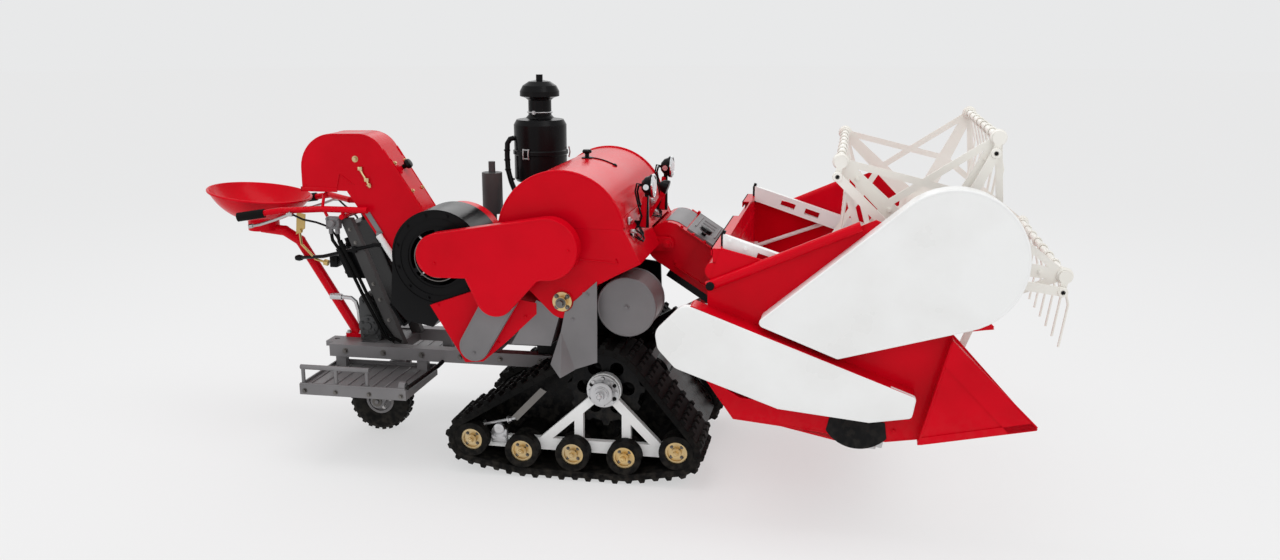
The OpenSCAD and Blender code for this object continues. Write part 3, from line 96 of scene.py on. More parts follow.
# The camera stands at the machine's right front quarter, above the reel, and looks slightly down.
EYE = Vector((0.914, -4.094, 1.60))
SIGHT = Vector((-0.182, 0.958, -0.22))
FOCAL_SHARE = 1142 / 1280
camera_data = bpy.data.cameras.new("quarter_view")
camera_data.sensor_width = 36.0
camera_data.lens = camera_data.sensor_width * FOCAL_SHARE
camera = bpy.data.objects.new("quarter_view", camera_data)
camera.location = EYE
camera.rotation_euler = SIGHT.to_track_quat("-Z", "Y").to_euler()
scene.collection.objects.link(camera)
scene.camera = camera

# Chassis and gearbox
# Two box rails bolted and welded to crossmembers carry the whole machine, and the cast gearbox
# hangs between the tracks. The rails are sprayed satin grey and the gearbox black.
RIGHT = Vector((0, -1, 0))
LEFT = Vector((0, 1, 0))
UP = Vector((0, 0, 1))
AHEAD = Vector((1, 0, 0))
DUST = (0.30, 0.26, 0.21, 1)
slot_of = {}


def link_chain(tree, *steps):
    """Join sockets, each step given as node, output, node, input."""
    for source, output, target, entry in steps:
        tree.links.new(source.outputs[output], target.inputs[entry])


def ramp_between(tree, source, output, low, high, result_low, result_high):
    """A Map Range node fed by another node's output."""
    node = tree.nodes.new("ShaderNodeMapRange")
    tree.links.new(source.outputs[output], node.inputs["Value"])
    for entry, value in (("From Min", low), ("From Max", high),
                         ("To Min", result_low), ("To Max", result_high)):
        node.inputs[entry].default_value = value
    return node


def noise_at(tree, coords, scale, detail):
    """A Noise Texture on Object coordinates."""
    node = tree.nodes.new("ShaderNodeTexNoise")
    node.inputs["Scale"].default_value = scale
    node.inputs["Detail"].default_value = detail
    tree.links.new(coords.outputs["Object"], node.inputs["Vector"])
    return node


def coating(name, slot, colour, shade, roughness, metallic=0.0, shine=0.3, grain=160, relief=0.15,
            dust_top=0.45, dust_most=0.10):
    """Sprayed or plated finish: cloudy colour, fine orange-peel relief and dust near the ground."""
    material = bpy.data.materials.new(name)
    slot_of[material.name] = slot
    material.use_nodes = True
    tree = material.node_tree
    shader = tree.nodes["Principled BSDF"]
    shader.inputs["Metallic"].default_value = metallic
    shader.inputs["Specular IOR Level"].default_value = shine
    coords = tree.nodes.new("ShaderNodeTexCoord")
    cloud = noise_at(tree, coords, 5.0, 5.0)
    speck = noise_at(tree, coords, 42.0, 6.0)
    peel = noise_at(tree, coords, grain, 2.0)
    tint = tree.nodes.new("ShaderNodeMix")
    tint.data_type = "RGBA"
    tint.inputs["A"].default_value = (*shade, 1)
    tint.inputs["B"].default_value = (*colour, 1)
    height = tree.nodes.new("ShaderNodeSeparateXYZ")
    link_chain(tree, (ramp_between(tree, cloud, "Fac", 0.32, 0.62, 0.0, 1.0), "Result", tint, "Factor"),
               (coords, "Object", height, "Vector"))
    low_down = ramp_between(tree, height, "Z", 0.0, dust_top, dust_most, 0.0)
    settled = tree.nodes.new("ShaderNodeMath")
    settled.operation = "MULTIPLY"
    link_chain(tree, (low_down, "Result", settled, 0),
               (ramp_between(tree, speck, "Fac", 0.42, 0.62, 0.0, 1.0), "Result", settled, 1))
    dusty = tree.nodes.new("ShaderNodeMix")
    dusty.data_type = "RGBA"
    dusty.inputs["B"].default_value = DUST
    link_chain(tree, (settled, "Value", dusty, "Factor"), (tint, "Result", dusty, "A"),
               (dusty, "Result", shader, "Base Color"))
    sheen = ramp_between(tree, cloud, "Fac", 0.3, 0.7, roughness - 0.05, roughness + 0.06)
    dull = tree.nodes.new("ShaderNodeMath")
    dull.operation = "ADD"
    link_chain(tree, (sheen, "Result", dull, 0), (settled, "Value", dull, 1),
               (dull, "Value", shader, "Roughness"))
    bump = tree.nodes.new("ShaderNodeBump")
    bump.inputs["Strength"].default_value = relief
    bump.inputs["Distance"].default_value = 0.0006
    link_chain(tree, (peel, "Fac", bump, "Height"), (bump, "Normal", shader, "Normal"))
    return material


def dress(material, *nodes):
    """Give CAD nodes a finish."""
    for node in nodes:
        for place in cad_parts[node].material_slots:
            place.material = material


def piece(name, bm, material, body="root", slot=None):
    """Close a bmesh into an object that moves with a body. Its slot argument is not used."""
    bmesh.ops.remove_doubles(bm, verts=bm.verts, dist=0.00001)
    bmesh.ops.recalc_face_normals(bm, faces=bm.faces)
    mesh = bpy.data.meshes.new(name)
    bm.to_mesh(mesh)
    bm.free()
    mesh.shade_smooth()
    mesh.set_sharp_from_angle(angle=radians(35))
    mesh.materials.append(material)
    thing = bpy.data.objects.new(name, mesh)
    scene.collection.objects.link(thing)
    slot = slot or slot_of[material.name]
    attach(thing, body)
    return thing


def facing(place, axis):
    """Matrix that sets a shape drawn along Z at a place, along an axis."""
    return Matrix.Translation(place) @ Vector(axis).to_track_quat("Z", "Y").to_matrix().to_4x4()


def bolts(bm, places, axis, width):
    """Hexagon heads on round washers, set on a face that looks along axis."""
    washer_h = 0.16 * width
    head_h = 0.6 * width
    for place in places:
        seat = facing(place, axis)
        bmesh.ops.create_cone(bm, cap_ends=True, segments=14, radius1=0.85 * width, radius2=0.82 * width,
                              depth=washer_h, matrix=seat @ Matrix.Translation((0, 0, washer_h / 2)))
        lift = Matrix.Translation((0, 0, washer_h + head_h / 2 - 0.0002))
        bmesh.ops.create_cone(bm, cap_ends=True, segments=6, radius1=0.577 * width, radius2=0.53 * width,
                              depth=head_h, matrix=seat @ lift)


def fasteners(name, material, *groups, body="root"):
    """A piece made of groups of bolts, each given as places, axis and width."""
    heads = bmesh.new()
    for places, axis, width in groups:
        bolts(heads, places, axis, width)
    piece(name, heads, material, body)


grey_enamel = coating("grey_enamel", "grey_paint", (0.205, 0.198, 0.203), (0.165, 0.160, 0.164), 0.40,
                      metallic=0.25)
black_enamel = coating("black_enamel", "black_paint", (0.004, 0.004, 0.0045), (0.007, 0.007, 0.0075), 0.24,
                       shine=0.10)
dark_steel = coating("dark_steel", "bare_steel", (0.20, 0.19, 0.18), (0.10, 0.095, 0.09), 0.42,
                     metallic=1.0, relief=0.3)
dress(grey_enamel, "chassis_frame")
dress(black_enamel, "transmission")

rail_low, rail_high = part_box("chassis_frame")
rail_mid = rail_high.z - 0.024
rail_xs = [rail_low.x + 0.14 + 0.155 * i for i in range(7)]
fasteners("rail_bolts", dark_steel, *[([Vector((x, face, rail_mid)) for x in rail_xs], side, 0.014)
                                      for side, face in ((RIGHT, rail_low.y), (LEFT, rail_high.y))])


# Tracks
# Moulded rubber belts with rows of short lugs run over a sprocket and five rubber-tyred rollers.
# White welded A-frames carry the rollers on yellow zinc hubs, and a screw tightens each belt.
MIDDLE = Vector((0.046129, -0.0165, 0.0))


def spot(x, y, z):
    """A place measured in millimetres from the middle of the machine's tracks, in the shared frame."""
    return Vector((x, y, z)) / 1000 - MIDDLE


def route(*rows):
    """Places from (x, y, z) points in millimetres."""
    return [spot(*row) for row in rows]


def on_side(y, rows):
    """Places on a plane across the machine at y, from (x, z) points in millimetres."""
    return [spot(x, y, z) for x, z in rows]


def ring_of(centre, radius, count, start=0.0):
    """Places evenly round a centre, on a plane across the machine."""
    turns = (start + 2 * pi * k / count for k in range(count))
    return [centre + radius * Vector((cos(a), 0, sin(a))) for a in turns]


def turned(bm, profile, place, axis, steps=32):
    """A shape turned on a lathe from (radius, height) points along axis."""
    seat = facing(place, axis)
    dots = [bm.verts.new(seat @ Vector((radius, 0, height))) for radius, height in profile]
    edges = [bm.edges.new(pair) for pair in zip(dots, dots[1:])]
    bmesh.ops.spin(bm, geom=dots + edges, cent=place, axis=axis, angle=2 * pi, steps=steps,
                   use_merge=True)


def solid(bm, profile, place, axis, steps=32):
    """A turned shape without a bore: its profile is closed on the axis at both ends."""
    turned(bm, [(0, profile[0][1]), *profile, (0, profile[-1][1])], place, axis, steps)


def carried(bm, rim, frames, closed):
    """Draw a rim of edges through a row of frames, and close it on itself or cap its end."""
    first = rim
    for place, moved in zip(frames, frames[1:]):
        grown = bmesh.ops.extrude_edge_only(bm, edges=rim)["geom"]
        dots = [g for g in grown if isinstance(g, bmesh.types.BMVert)]
        rim = [g for g in grown if isinstance(g, bmesh.types.BMEdge) and all(v in dots for v in g.verts)]
        bmesh.ops.transform(bm, matrix=moved @ place.inverted(), verts=dots)
    if closed:
        bmesh.ops.bridge_loops(bm, edges=first + rim)
    else:
        bmesh.ops.edgeloop_fill(bm, edges=rim)


def pipe(bm, path, radius, sides=8, closed=False):
    """A round bar drawn along a path of points, capped at its ends unless it is a closed ring."""
    points = [Vector(p) for p in path]
    count = len(points)
    ways = []
    for i in range(count):
        ahead = points[(i + 1) % count] if closed else points[min(i + 1, count - 1)]
        behind = points[i - 1] if closed else points[max(i - 1, 0)]
        ways.append((ahead - behind).normalized())
    turn = ways[0].to_track_quat("Z", "Y")
    frames = [Matrix.Translation(points[0]) @ turn.to_matrix().to_4x4()]
    for i in range(1, count):
        turn = ways[i - 1].rotation_difference(ways[i]) @ turn
        frames.append(Matrix.Translation(points[i]) @ turn.to_matrix().to_4x4())
    ring = bmesh.ops.create_circle(bm, cap_ends=not closed, segments=sides, radius=radius,
                                   matrix=frames[0])["verts"]
    carried(bm, list({edge for vert in ring for edge in vert.link_edges}), frames, closed)


def block(bm, low, high, edge=0.002):
    """A box between two corners with its edges rounded."""
    low, high = Vector(low), Vector(high)
    place = Matrix.Translation((low + high) / 2) @ Matrix.Diagonal((*(high - low), 1))
    dots = bmesh.ops.create_cube(bm, size=1.0, matrix=place)["verts"]
    edges = list({e for v in dots for e in v.link_edges})
    bmesh.ops.bevel(bm, geom=edges, offset=edge, segments=2, profile=0.5, affect="EDGES", material=-1)


def sheet(bm, outline, thickness):
    """A flat plate: an outline of points pushed through by a thickness vector."""
    face = bm.faces.new([bm.verts.new(p) for p in outline])
    grown = bmesh.ops.extrude_face_region(bm, geom=[face])["geom"]
    dots = [g for g in grown if isinstance(g, bmesh.types.BMVert)]
    bmesh.ops.translate(bm, verts=dots, vec=thickness)


def loop_round(discs):
    """Convex outline in millimetres round discs given as (x, z, radius), with a point each 12 mm or so."""
    turns = [2 * pi * k / 48 for k in range(48)]
    dots = [(x + r * cos(a), z + r * sin(a)) for x, z, r in discs for a in turns]
    corners = [Vector(dots[i]) for i in convex_hull_2d(dots)]
    loop = []
    for corner, ahead in zip(corners, corners[1:] + corners[:1]):
        count = max(1, round((ahead - corner).length / 12))
        loop += [corner.lerp(ahead, k / count) for k in range(count)]
    return loop


def even_loop(loop, count):
    """A closed outline's points placed anew at equal steps."""
    ends = loop[1:] + loop[:1]
    step = sum((end - start).length for start, end in zip(loop, ends)) / count
    places = []
    left = 0.0
    for start, end in zip(loop, ends):
        length = (end - start).length
        while left < length and len(places) < count:
            places.append(start.lerp(end, left / length))
            left += step
        left -= length
    return places


def belt_frames(loop, y):
    """Frames round a belt's outside: along it, across the machine and out of it."""
    centre = sum(loop, Vector((0, 0))) / len(loop)
    frames = []
    for i, dot in enumerate(loop):
        run = loop[(i + 1) % len(loop)] - loop[i - 1]
        along = Vector((run.x, 0, run.y)).normalized()
        out = Vector((-along.z, 0, along.x))
        if out.x * (dot.x - centre.x) + out.z * (dot.y - centre.y) < 0:
            out = -out
        axes = Matrix((along, out.cross(along), out)).transposed().to_4x4()
        frames.append(Matrix.Translation(spot(dot.x, y, dot.y)) @ axes)
    return frames


track_rubber = coating("track_rubber", "track_rubber", (0.004, 0.004, 0.004), (0.008, 0.0075, 0.007), 0.60,
                       shine=0.06, grain=95, relief=0.5, dust_top=0.3, dust_most=0.06)
white_enamel = coating("white_enamel", "white_paint", (0.86, 0.865, 0.86), (0.81, 0.81, 0.80), 0.30,
                       shine=0.4, relief=0.08, dust_top=0.3)
PLATING = ("zinc_plate", (0.70, 0.50, 0.22), (0.58, 0.46, 0.28), 0.34)
yellow_zinc = coating("yellow_zinc", *PLATING, metallic=1.0, relief=0.2)
worked_steel = coating("worked_steel", "bare_steel", (0.56, 0.56, 0.57), (0.42, 0.41, 0.40), 0.34,
                       metallic=1.0, relief=0.3)
dress(track_rubber, "track_right", "track_left", "roller_tyres")
dress(white_enamel, "track_frames")
dress(worked_steel, "drive_hubs")
dress(black_enamel, "sprockets")

# The outer roller hubs are plated; the hubs on the machine's side of the beam are turned near-black as
# painted shade for the shaded space between the tracks.
shaded_hub_finish = coating("shaded_hub_finish", *PLATING, metallic=1.0, relief=0.2)
# Hubs nearer the machine's middle than this reach get the painted shade.
HUB_SHADE_REACH = 0.335
hub_tree = shaded_hub_finish.node_tree
hub_coords = hub_tree.nodes.new("ShaderNodeTexCoord")
hub_across = hub_tree.nodes.new("ShaderNodeSeparateXYZ")
hub_reach = hub_tree.nodes.new("ShaderNodeMath")
hub_reach.operation = "ABSOLUTE"
hub_painted_shade = hub_tree.nodes.new("ShaderNodeMix")
hub_painted_shade.data_type = "RGBA"
# Near-black painted shade for the inner hubs.
hub_painted_shade.inputs["A"].default_value = (0.006, 0.006, 0.006, 1)
hub_shader = hub_tree.nodes["Principled BSDF"]
hub_plate = hub_shader.inputs["Base Color"].links[0].from_node
link_chain(hub_tree, (hub_coords, "Object", hub_across, "Vector"), (hub_across, "Y", hub_reach, 0),
           (hub_plate, "Result", hub_painted_shade, "B"), (hub_painted_shade, "Result", hub_shader, "Base Color"))
# Mask of the painted shade: hubs nearer the machine's middle than the reach.
hub_shade_mask = ramp_between(hub_tree, hub_reach, "Value", HUB_SHADE_REACH - 0.002, HUB_SHADE_REACH, 0.0, 1.0)
link_chain(hub_tree, (hub_shade_mask, "Result", hub_painted_shade, "Factor"))
dress(shaded_hub_finish, "roller_hubs")

# Each belt has short staggered lug blocks outside and a row of small bosses along both edges.
BELT_MID = 285
BELT_HALF = 115
BELT_FLAT = BELT_HALF - 3
BELT_THICK = 24
LUG_HEIGHT = 13
LUG_ROWS = 46
LUG_BLOCKS = ([(-87, 50), (-29, 50), (29, 50), (87, 50)],
              [(-102, 24), (-58, 50), (0, 50), (58, 50), (102, 24)])
belt_discs = [(8 + 187 * i, 131 if abs(i) == 2 else 99, 62) for i in range(-2, 3)] + [(115, 330, 143)]
belt_loop = loop_round([(x, z, r + BELT_THICK) for x, z, r in belt_discs])
belt_section = [(-BELT_HALF, -3), (-BELT_FLAT, 0), (BELT_FLAT, 0), (BELT_HALF, -3), (BELT_HALF, -20),
                (BELT_FLAT, -23.5), (-BELT_FLAT, -23.5), (-BELT_HALF, -20)]
for node, side in (("track_right", -1), ("track_left", 1)):
    belt = bmesh.new()
    frames = belt_frames(belt_loop, side * BELT_MID)
    dots = [belt.verts.new(frames[0] @ Vector((0, across / 1000, out / 1000)))
            for across, out in belt_section]
    rim = [belt.edges.new(pair) for pair in zip(dots, dots[1:] + dots[:1])]
    carried(belt, rim, frames, closed=True)
    for k, seat in enumerate(belt_frames(even_loop(belt_loop, LUG_ROWS), side * BELT_MID)):
        for across, width in LUG_BLOCKS[k % 2]:
            size = Matrix.Diagonal((0.024, width / 1000, LUG_HEIGHT / 1000, 1))
            lug = size @ Matrix.Rotation(pi / 4, 4, "Z")
            place = seat @ Matrix.Translation((0, across / 1000, LUG_HEIGHT / 2000 - 0.0005)) @ lug
            bmesh.ops.create_cone(belt, cap_ends=True, segments=4, radius1=0.707, radius2=0.46, depth=1,
                                  matrix=place)
        for edge in (-1, 1):
            place = seat @ Matrix.Translation((0, edge * (BELT_HALF + 1.5) / 1000, -0.011))
            bmesh.ops.create_cone(belt, cap_ends=True, segments=6, radius1=0.0085, radius2=0.004,
                                  depth=0.004, matrix=place @ Matrix.Rotation(-edge * pi / 2, 4, "X"))
    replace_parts(piece(f"{node}_belt", belt, track_rubber, "root", "track_rubber"), node)

# A black sheet closes the machine's side of each track, and another shields the gearbox in front.
mud_sheets = bmesh.new()
sheet_loop = loop_round([(x, z, r - 6) for x, z, r in belt_discs])
for side in (-1, 1):
    sheet(mud_sheets, on_side(side * 176, sheet_loop), Vector((0, side * 0.005, 0)))
    pipe(mud_sheets, route((150, side * 95, 352), (290, side * 95, 350)), 0.009, 10)
sheet(mud_sheets, route((246, -163, 412), (246, 163, 412), (446, 163, 128), (446, -163, 128)),
      Vector((0.003, 0, 0.002)))
piece("mud_sheets", mud_sheets, black_enamel)

hub_low, hub_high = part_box("roller_hubs")
HUB_RADIUS = 0.0397
HUB_RECESS = 0.0158
ROLLERS = 5
roller_step = (hub_high.x - hub_low.x - 2 * HUB_RADIUS) / (ROLLERS - 1)
roller_places = []
for i in range(ROLLERS):
    at_end = i in (0, ROLLERS - 1)
    roller_places.append((hub_low.x + HUB_RADIUS + i * roller_step,
                          hub_high.z - HUB_RADIUS if at_end else hub_low.z + HUB_RADIUS))
roller_bolts = bmesh.new()
roller_nuts = bmesh.new()
for side, face in ((RIGHT, hub_low.y), (LEFT, hub_high.y)):
    for x, z in roller_places:
        centre = Vector((x, face, z))
        bolts(roller_bolts, ring_of(centre - HUB_RECESS * side, 0.0255, 4, pi / 4), side, 0.0075)
        bolts(roller_nuts, [centre - 0.0005 * side], side, 0.019)
        solid(roller_nuts, [(0.0055, 0), (0.0055, 0.017), (0.003, 0.019)], centre, side, 12)
piece("roller_bolts", roller_bolts, dark_steel)
piece("roller_nuts", roller_nuts, yellow_zinc)

# The drive hub's cap is locked by a hexagon nut with a split pin through the axle's end.
axle_low, axle_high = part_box("drive_hubs")
axle_mid = (axle_low + axle_high) / 2
axle_nuts = bmesh.new()
flange_bolts = bmesh.new()
for side, face in ((RIGHT, axle_low.y), (LEFT, axle_high.y)):
    end = Vector((axle_mid.x, face, axle_mid.z))
    bolts(flange_bolts, ring_of(end - 0.038 * side, 0.048, 6, pi / 6), side, 0.009)
    bolts(axle_nuts, [end - 0.0004 * side], side, 0.030)
    solid(axle_nuts, [(0.009, 0), (0.009, 0.028), (0.006, 0.031)], end, side, 16)
    pipe(axle_nuts, [end + 0.026 * side - 0.016 * UP, end + 0.026 * side + 0.016 * UP], 0.002)
    pipe(axle_nuts, ring_of(end - 0.010 * side, 0.039, 32), 0.003, closed=True)
piece("axle_nuts", axle_nuts, worked_steel)
piece("flange_bolts", flange_bolts, black_enamel)

# Each belt is tightened by a screw in a cast bracket on the rear of the roller beam.
beam_low, beam_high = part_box("track_frames")
rear_x, rear_z = roller_places[0]
near_x = roller_places[1][0]
ARM_WIDTH = Vector((0.011, 0, -0.006))
tensioners = bmesh.new()
tension_arms = bmesh.new()
for side, face in ((RIGHT, beam_low.y), (LEFT, beam_high.y)):
    foot = Vector(((rear_x + near_x) / 2, face + 0.001 * side.y, rear_z + 0.004))
    screw_tail = foot + Vector((-0.052, 0.004 * side.y, 0.044))
    block(tensioners, foot - Vector((0.030, 0.012, 0.024)), foot + Vector((0.030, 0.012, 0.030)), 0.006)
    turned(tensioners, [(0, 0), (0.020, 0), (0.020, 0.018), (0.013, 0.022), (0.007, 0.022), (0, 0.018)],
           foot + Vector((0.004, 0.010 * side.y, 0.034)), side, 24)
    pipe(tensioners, [screw_tail, foot + Vector((0.062, 0.004 * side.y, 0.072))], 0.006, 10)
    bolts(tensioners, [screw_tail], Vector((-0.97, 0, -0.24)), 0.018)
    bolts(tensioners, [foot + Vector((0.034, 0.004 * side.y, 0.065))], Vector((0.97, 0, 0.24)), 0.018)
    bolts(tensioners, [foot + Vector((x, 0.0115 * side.y, 0)) for x in (-0.019, 0.020)], side, 0.011)
    start = Vector(((rear_x + near_x) / 2 + 0.058, face, rear_z + 0.074))
    finish = Vector((near_x + 0.075, face, rear_z + 0.190))
    sheet(tension_arms, [start - ARM_WIDTH, start + ARM_WIDTH, finish + ARM_WIDTH, finish - ARM_WIDTH],
          0.008 * side)
piece("belt_tensioners", tensioners, worked_steel)
piece("tension_arms", tension_arms, dark_steel)


# Engine and air cleaner
# A water-cooled single-cylinder engine in a dark casting stands on the left rail. Its oil-bath
# air cleaner is a black pressed canister with a clamped bowl, spring clips and a rain cap.
def arc(x, z, radius, y, low, high, count=24):
    """Points of an arc about an axis that runs across the machine, in millimetres and degrees."""
    turns = (radians(low + (high - low) * i / count) for i in range(count + 1))
    return [spot(x + radius * cos(a), y, z + radius * sin(a)) for a in turns]


dark_casting = coating("dark_casting", "engine_casting", (0.045, 0.047, 0.05), (0.07, 0.07, 0.068), 0.5,
                       grain=60, relief=0.5)
dress(dark_casting, "engine")
dress(black_enamel, "air_cleaner")

air_mid = spot(-345, 525, 0)
CLAMP_TOP = 1.236
clips = bmesh.new()
for k in range(3):
    way = Matrix.Rotation(radians(-105 + 120 * k), 3, "Z") @ AHEAD
    side = way.cross(UP)
    for height in (1.052, 1.088):
        bar = air_mid + 0.118 * way + height * UP
        pipe(clips, [bar - 0.016 * side, bar + 0.016 * side], 0.003)
    for shift in (-0.012, 0.012):
        stem = air_mid + 0.119 * way + shift * side
        pipe(clips, [stem + 1.048 * UP, stem + 0.004 * way + 1.070 * UP, stem + 1.092 * UP], 0.0026)
clamp = [air_mid + 0.0505 * Vector((cos(a), sin(a), 0)) + CLAMP_TOP * UP
         for a in (2 * pi * k / 40 for k in range(40))]
pipe(clips, clamp, 0.0035, closed=True)
bolts(clips, [air_mid + Vector((-0.012, -0.052, CLAMP_TOP))], RIGHT, 0.010)
piece("air_cleaner_clips", clips, worked_steel)

hose = bmesh.new()
pipe(hose, route((-446, 480, 1130), (-462, 476, 1126), (-473, 472, 1108), (-474, 468, 1060),
                 (-470, 462, 1000), (-455, 455, 950), (-430, 440, 900), (-405, 400, 850), (-398, 380, 788)),
     0.011, 12)
for rib in route((-455, 462, 960), (-470, 462, 1000), (-474, 468, 1040), (-474, 468, 1080)):
    turned(hose, [(0.0105, -0.004), (0.0135, -0.003), (0.0135, 0.003), (0.0105, 0.004)], rib, UP, 14)
solid(hose, [(0.017, 0), (0.017, 0.012), (0.011, 0.016)], spot(-398, 380, 786), UP, 16)
piece("breather_hose", hose, black_enamel)

# Head bolts, cover bolts, the flywheel's nut and the fuel pipe finish the engine.
head_places = [spot(x, y, 790) for x in (-558, -412) for y in (207, 285, 413)]
fasteners("engine_bolts", dark_steel, (head_places, UP, 0.014),
          (arc(-400, 565, 92, 147, 0, 300, 5), RIGHT, 0.013),
          (arc(-300, 585, 50, 155, 0, 270, 3), RIGHT, 0.011),
          ([spot(-400, 505, 565)], LEFT, 0.042))
fuel_line = bmesh.new()
pipe(fuel_line, route((-392, 250, 720), (-402, 230, 700), (-408, 200, 660), (-420, 175, 640),
                      (-452, 160, 628), (-470, 158, 600)), 0.0045, 10)
solid(fuel_line, [(0.010, 0), (0.010, 0.02)], spot(-470, 158, 590), UP, 14)
piece("fuel_line", fuel_line, yellow_zinc)

# Thresher
# A rolled red sheet housing with a hinged round cover over the spiked drum, flanged at its ends.
# Toggle catches hold the cover in front, and a black knob on its crest opens it.
red_enamel = coating("red_enamel", "red_paint", (0.63, 0.001, 0.011), (0.55, 0.001, 0.009), 0.20,
                     shine=0.08, relief=0.04)
dress(red_enamel, "thresher_body", "drum_cover")
dress(black_enamel, "thresher_stand")
dress(worked_steel, "threshing_drum")
dress(yellow_zinc, "shaft_bearing")

DRUM_AXIS = (-20, 890)
COVER_SPAN = Vector((0, 0.784, 0))
cover_rims = bmesh.new()
for y in (-397, 397):
    pipe(cover_rims, arc(*DRUM_AXIS, 221, y, 9, 171, 40), 0.0045)
low, high = arc(*DRUM_AXIS, 221.5, -392, 8, 17, 1)
sheet(cover_rims, [low, high, high + COVER_SPAN, low + COVER_SPAN], Vector((0.003, 0, 0.0005)))
piece("cover_rims", cover_rims, red_enamel, "cover")

catches = bmesh.new()
hooks = bmesh.new()
for y in (-330, -110, 110, 330):
    block(catches, spot(201, y - 14, 926), spot(209, y + 14, 950), 0.0015)
    pipe(catches, route((211, y - 13, 940), (211, y + 13, 940)), 0.003)
    block(hooks, spot(208, y - 12, 884), spot(224, y + 12, 908), 0.003)
    pipe(hooks, route((220, y - 16, 902), (229, y, 896), (220, y + 16, 902)), 0.003)
piece("cover_catches", catches, worked_steel, "cover")
piece("catch_levers", hooks, worked_steel)

crest_knob = bmesh.new()
turned(crest_knob, [(0, -0.003), (0.022, -0.003), (0.020, 0.004), (0.008, 0.007), (0.008, 0.016),
                    (0.016, 0.020), (0.018, 0.026), (0.014, 0.032), (0, 0.033)], spot(-20, 0, 1110), UP, 24)
pipe(crest_knob, [p + 0.001 * UP for p in arc(*DRUM_AXIS, 221, 6, 88, 62, 12)], 0.0022)
grommet = arc(*DRUM_AXIS, 222, 6, 62, 62, 1)[0]
solid(crest_knob, [(0.010, -0.004), (0.009, 0.002), (0.004, 0.005)], grommet,
      (grommet - spot(-20, 6, 890)).normalized(), 14)
piece("crest_knob", crest_knob, black_enamel, "cover")

housing_trim = bmesh.new()
pipe(housing_trim, on_side(-401, [(44, 812), (110, 808), (180, 803), (172, 818)]), 0.0025)
for y in (-398, 398):
    pipe(housing_trim, on_side(y, [(-238, 913), (-238, 806)]), 0.003)
    pipe(housing_trim, on_side(y, [(199, 913), (255, 806), (112, 729)]), 0.003)
piece("housing_trim", housing_trim, red_enamel)
SHAFT_AXIS = (-15, 663)
fasteners("bearing_bolts", dark_steel, (arc(*SHAFT_AXIS, 27, -414, 45, 315, 3), RIGHT, 0.010),
          (on_side(-433.5, [SHAFT_AXIS]), RIGHT, 0.022))


# Belt covers
# Folded sheet covers with rounded rims keep hands out of the belts on the right side. The red
# one hangs over the drum's pulley, and the grey one below it runs down to the fan and shoe.
def inside(point, outline):
    """True where a point lies within a convex outline: on the same side of all its edges."""
    pairs = zip(outline, outline[1:] + outline[:1])
    sides = {(bx - ax) * (point[1] - az) > (bz - az) * (point[0] - ax) for (ax, az), (bx, bz) in pairs}
    return len(sides) == 1


def joined(first, second):
    """Outline of two overlapping convex outlines whose edges cross twice."""
    runs = []
    for one, other in ((first, second), (second, first)):
        kept = [not inside(p, other) for p in one]
        start = next(i for i in range(len(one)) if kept[i] and not kept[i - 1])
        run = []
        for p in one[start:] + one[:start]:
            if inside(p, other):
                break
            run.append(p)
        runs.append(run)
    return runs[0] + runs[1]


def rolled_rim(name, loop, y, material, body="root"):
    """A rolled edge round a cover's outline of (x, z) points."""
    rim = bmesh.new()
    pipe(rim, on_side(y, loop), 0.0048, 10, closed=True)
    piece(name, rim, material, body)


dress(red_enamel, "belt_guard_upper", "cleaning_shoe")
dress(grey_enamel, "belt_guard_lower", "straw_deflector", "pulley_guard")
dress(black_enamel, "fan_housing")
dress(worked_steel, "fan_rotor")
upper_loop = joined(loop_round([(-430, 825, 72), (-45, 860, 102)]),
                    loop_round([(-310, 775, 27), (-228, 690, 65), (-95, 780, 27)]))
rolled_rim("upper_cover_rim", upper_loop, -496.5, red_enamel)
lower_loop = loop_round([(-330, 492, 49), (-215, 690, 52)])
rolled_rim("lower_cover_rim", lower_loop, -433.5, grey_enamel)
fasteners("upper_cover_bolts", red_enamel, (on_side(-500, [(30, 860), (-440, 800)]), RIGHT, 0.008))
fasteners("lower_cover_bolts", grey_enamel, (on_side(-437, [(-330, 470), (-226, 700)]), RIGHT, 0.008))

# The fan's inlet is guarded by wire rings on its spokes, and its side plate is bolted on.
FAN_AXIS = (-473, 793)
fan_wires = bmesh.new()
for radius in (45, 58, 71, 84):
    pipe(fan_wires, arc(*FAN_AXIS, radius, -381.5, 0, 352.5, 47), 0.0022, closed=True)
piece("fan_grille", fan_wires, dark_steel)
fasteners("fan_bolts", black_enamel, (arc(*FAN_AXIS, 153, -380, 15, 345, 11), RIGHT, 0.010),
          (arc(*FAN_AXIS, 22, -380, 30, 270, 2), RIGHT, 0.008))

# The cleaning shoe, the straw fin and the round pulley guard are bolted sheet.
GUARD_AXIS = (200, 640)
shoe_places = on_side(-400, [(-470, 628), (-372, 470), (-250, 500), (-150, 600)])
fasteners("shoe_bolts", red_enamel, (shoe_places, RIGHT, 0.008))
fasteners("fin_bolts", grey_enamel, (on_side(-405, [(72, 690), (20, 600)]), RIGHT, 0.008),
          (on_side(-360, [GUARD_AXIS]), RIGHT, 0.012))
guard_rim = bmesh.new()
pipe(guard_rim, arc(*GUARD_AXIS, 101, -357, 0, 354, 59), 0.0045, 10, closed=True)
pipe(guard_rim, arc(*GUARD_AXIS, 104.5, -205, 0, 354, 59), 0.0035, closed=True)
piece("pulley_guard_rim", guard_rim, grey_enamel)

# Grain elevator
# Buckets climb inside this slanted red box. Its head is adjusted by a zinc screw, a bolted lid in
# front gives access, and grain falls from the hood's spout into a sack.
LEG_FOOT = Vector((-503, 0, 697))
LEG_HEAD = Vector((-789.5, 0, 1144))
LEG_OUT = Vector((0.838, 0, 0.546))


def on_leg(share, y, lift=0.0):
    """A place on the front face of the elevator's leg, a share of the way up."""
    place = LEG_FOOT.lerp(LEG_HEAD, share)
    return spot(place.x, y, place.z) + lift * LEG_OUT


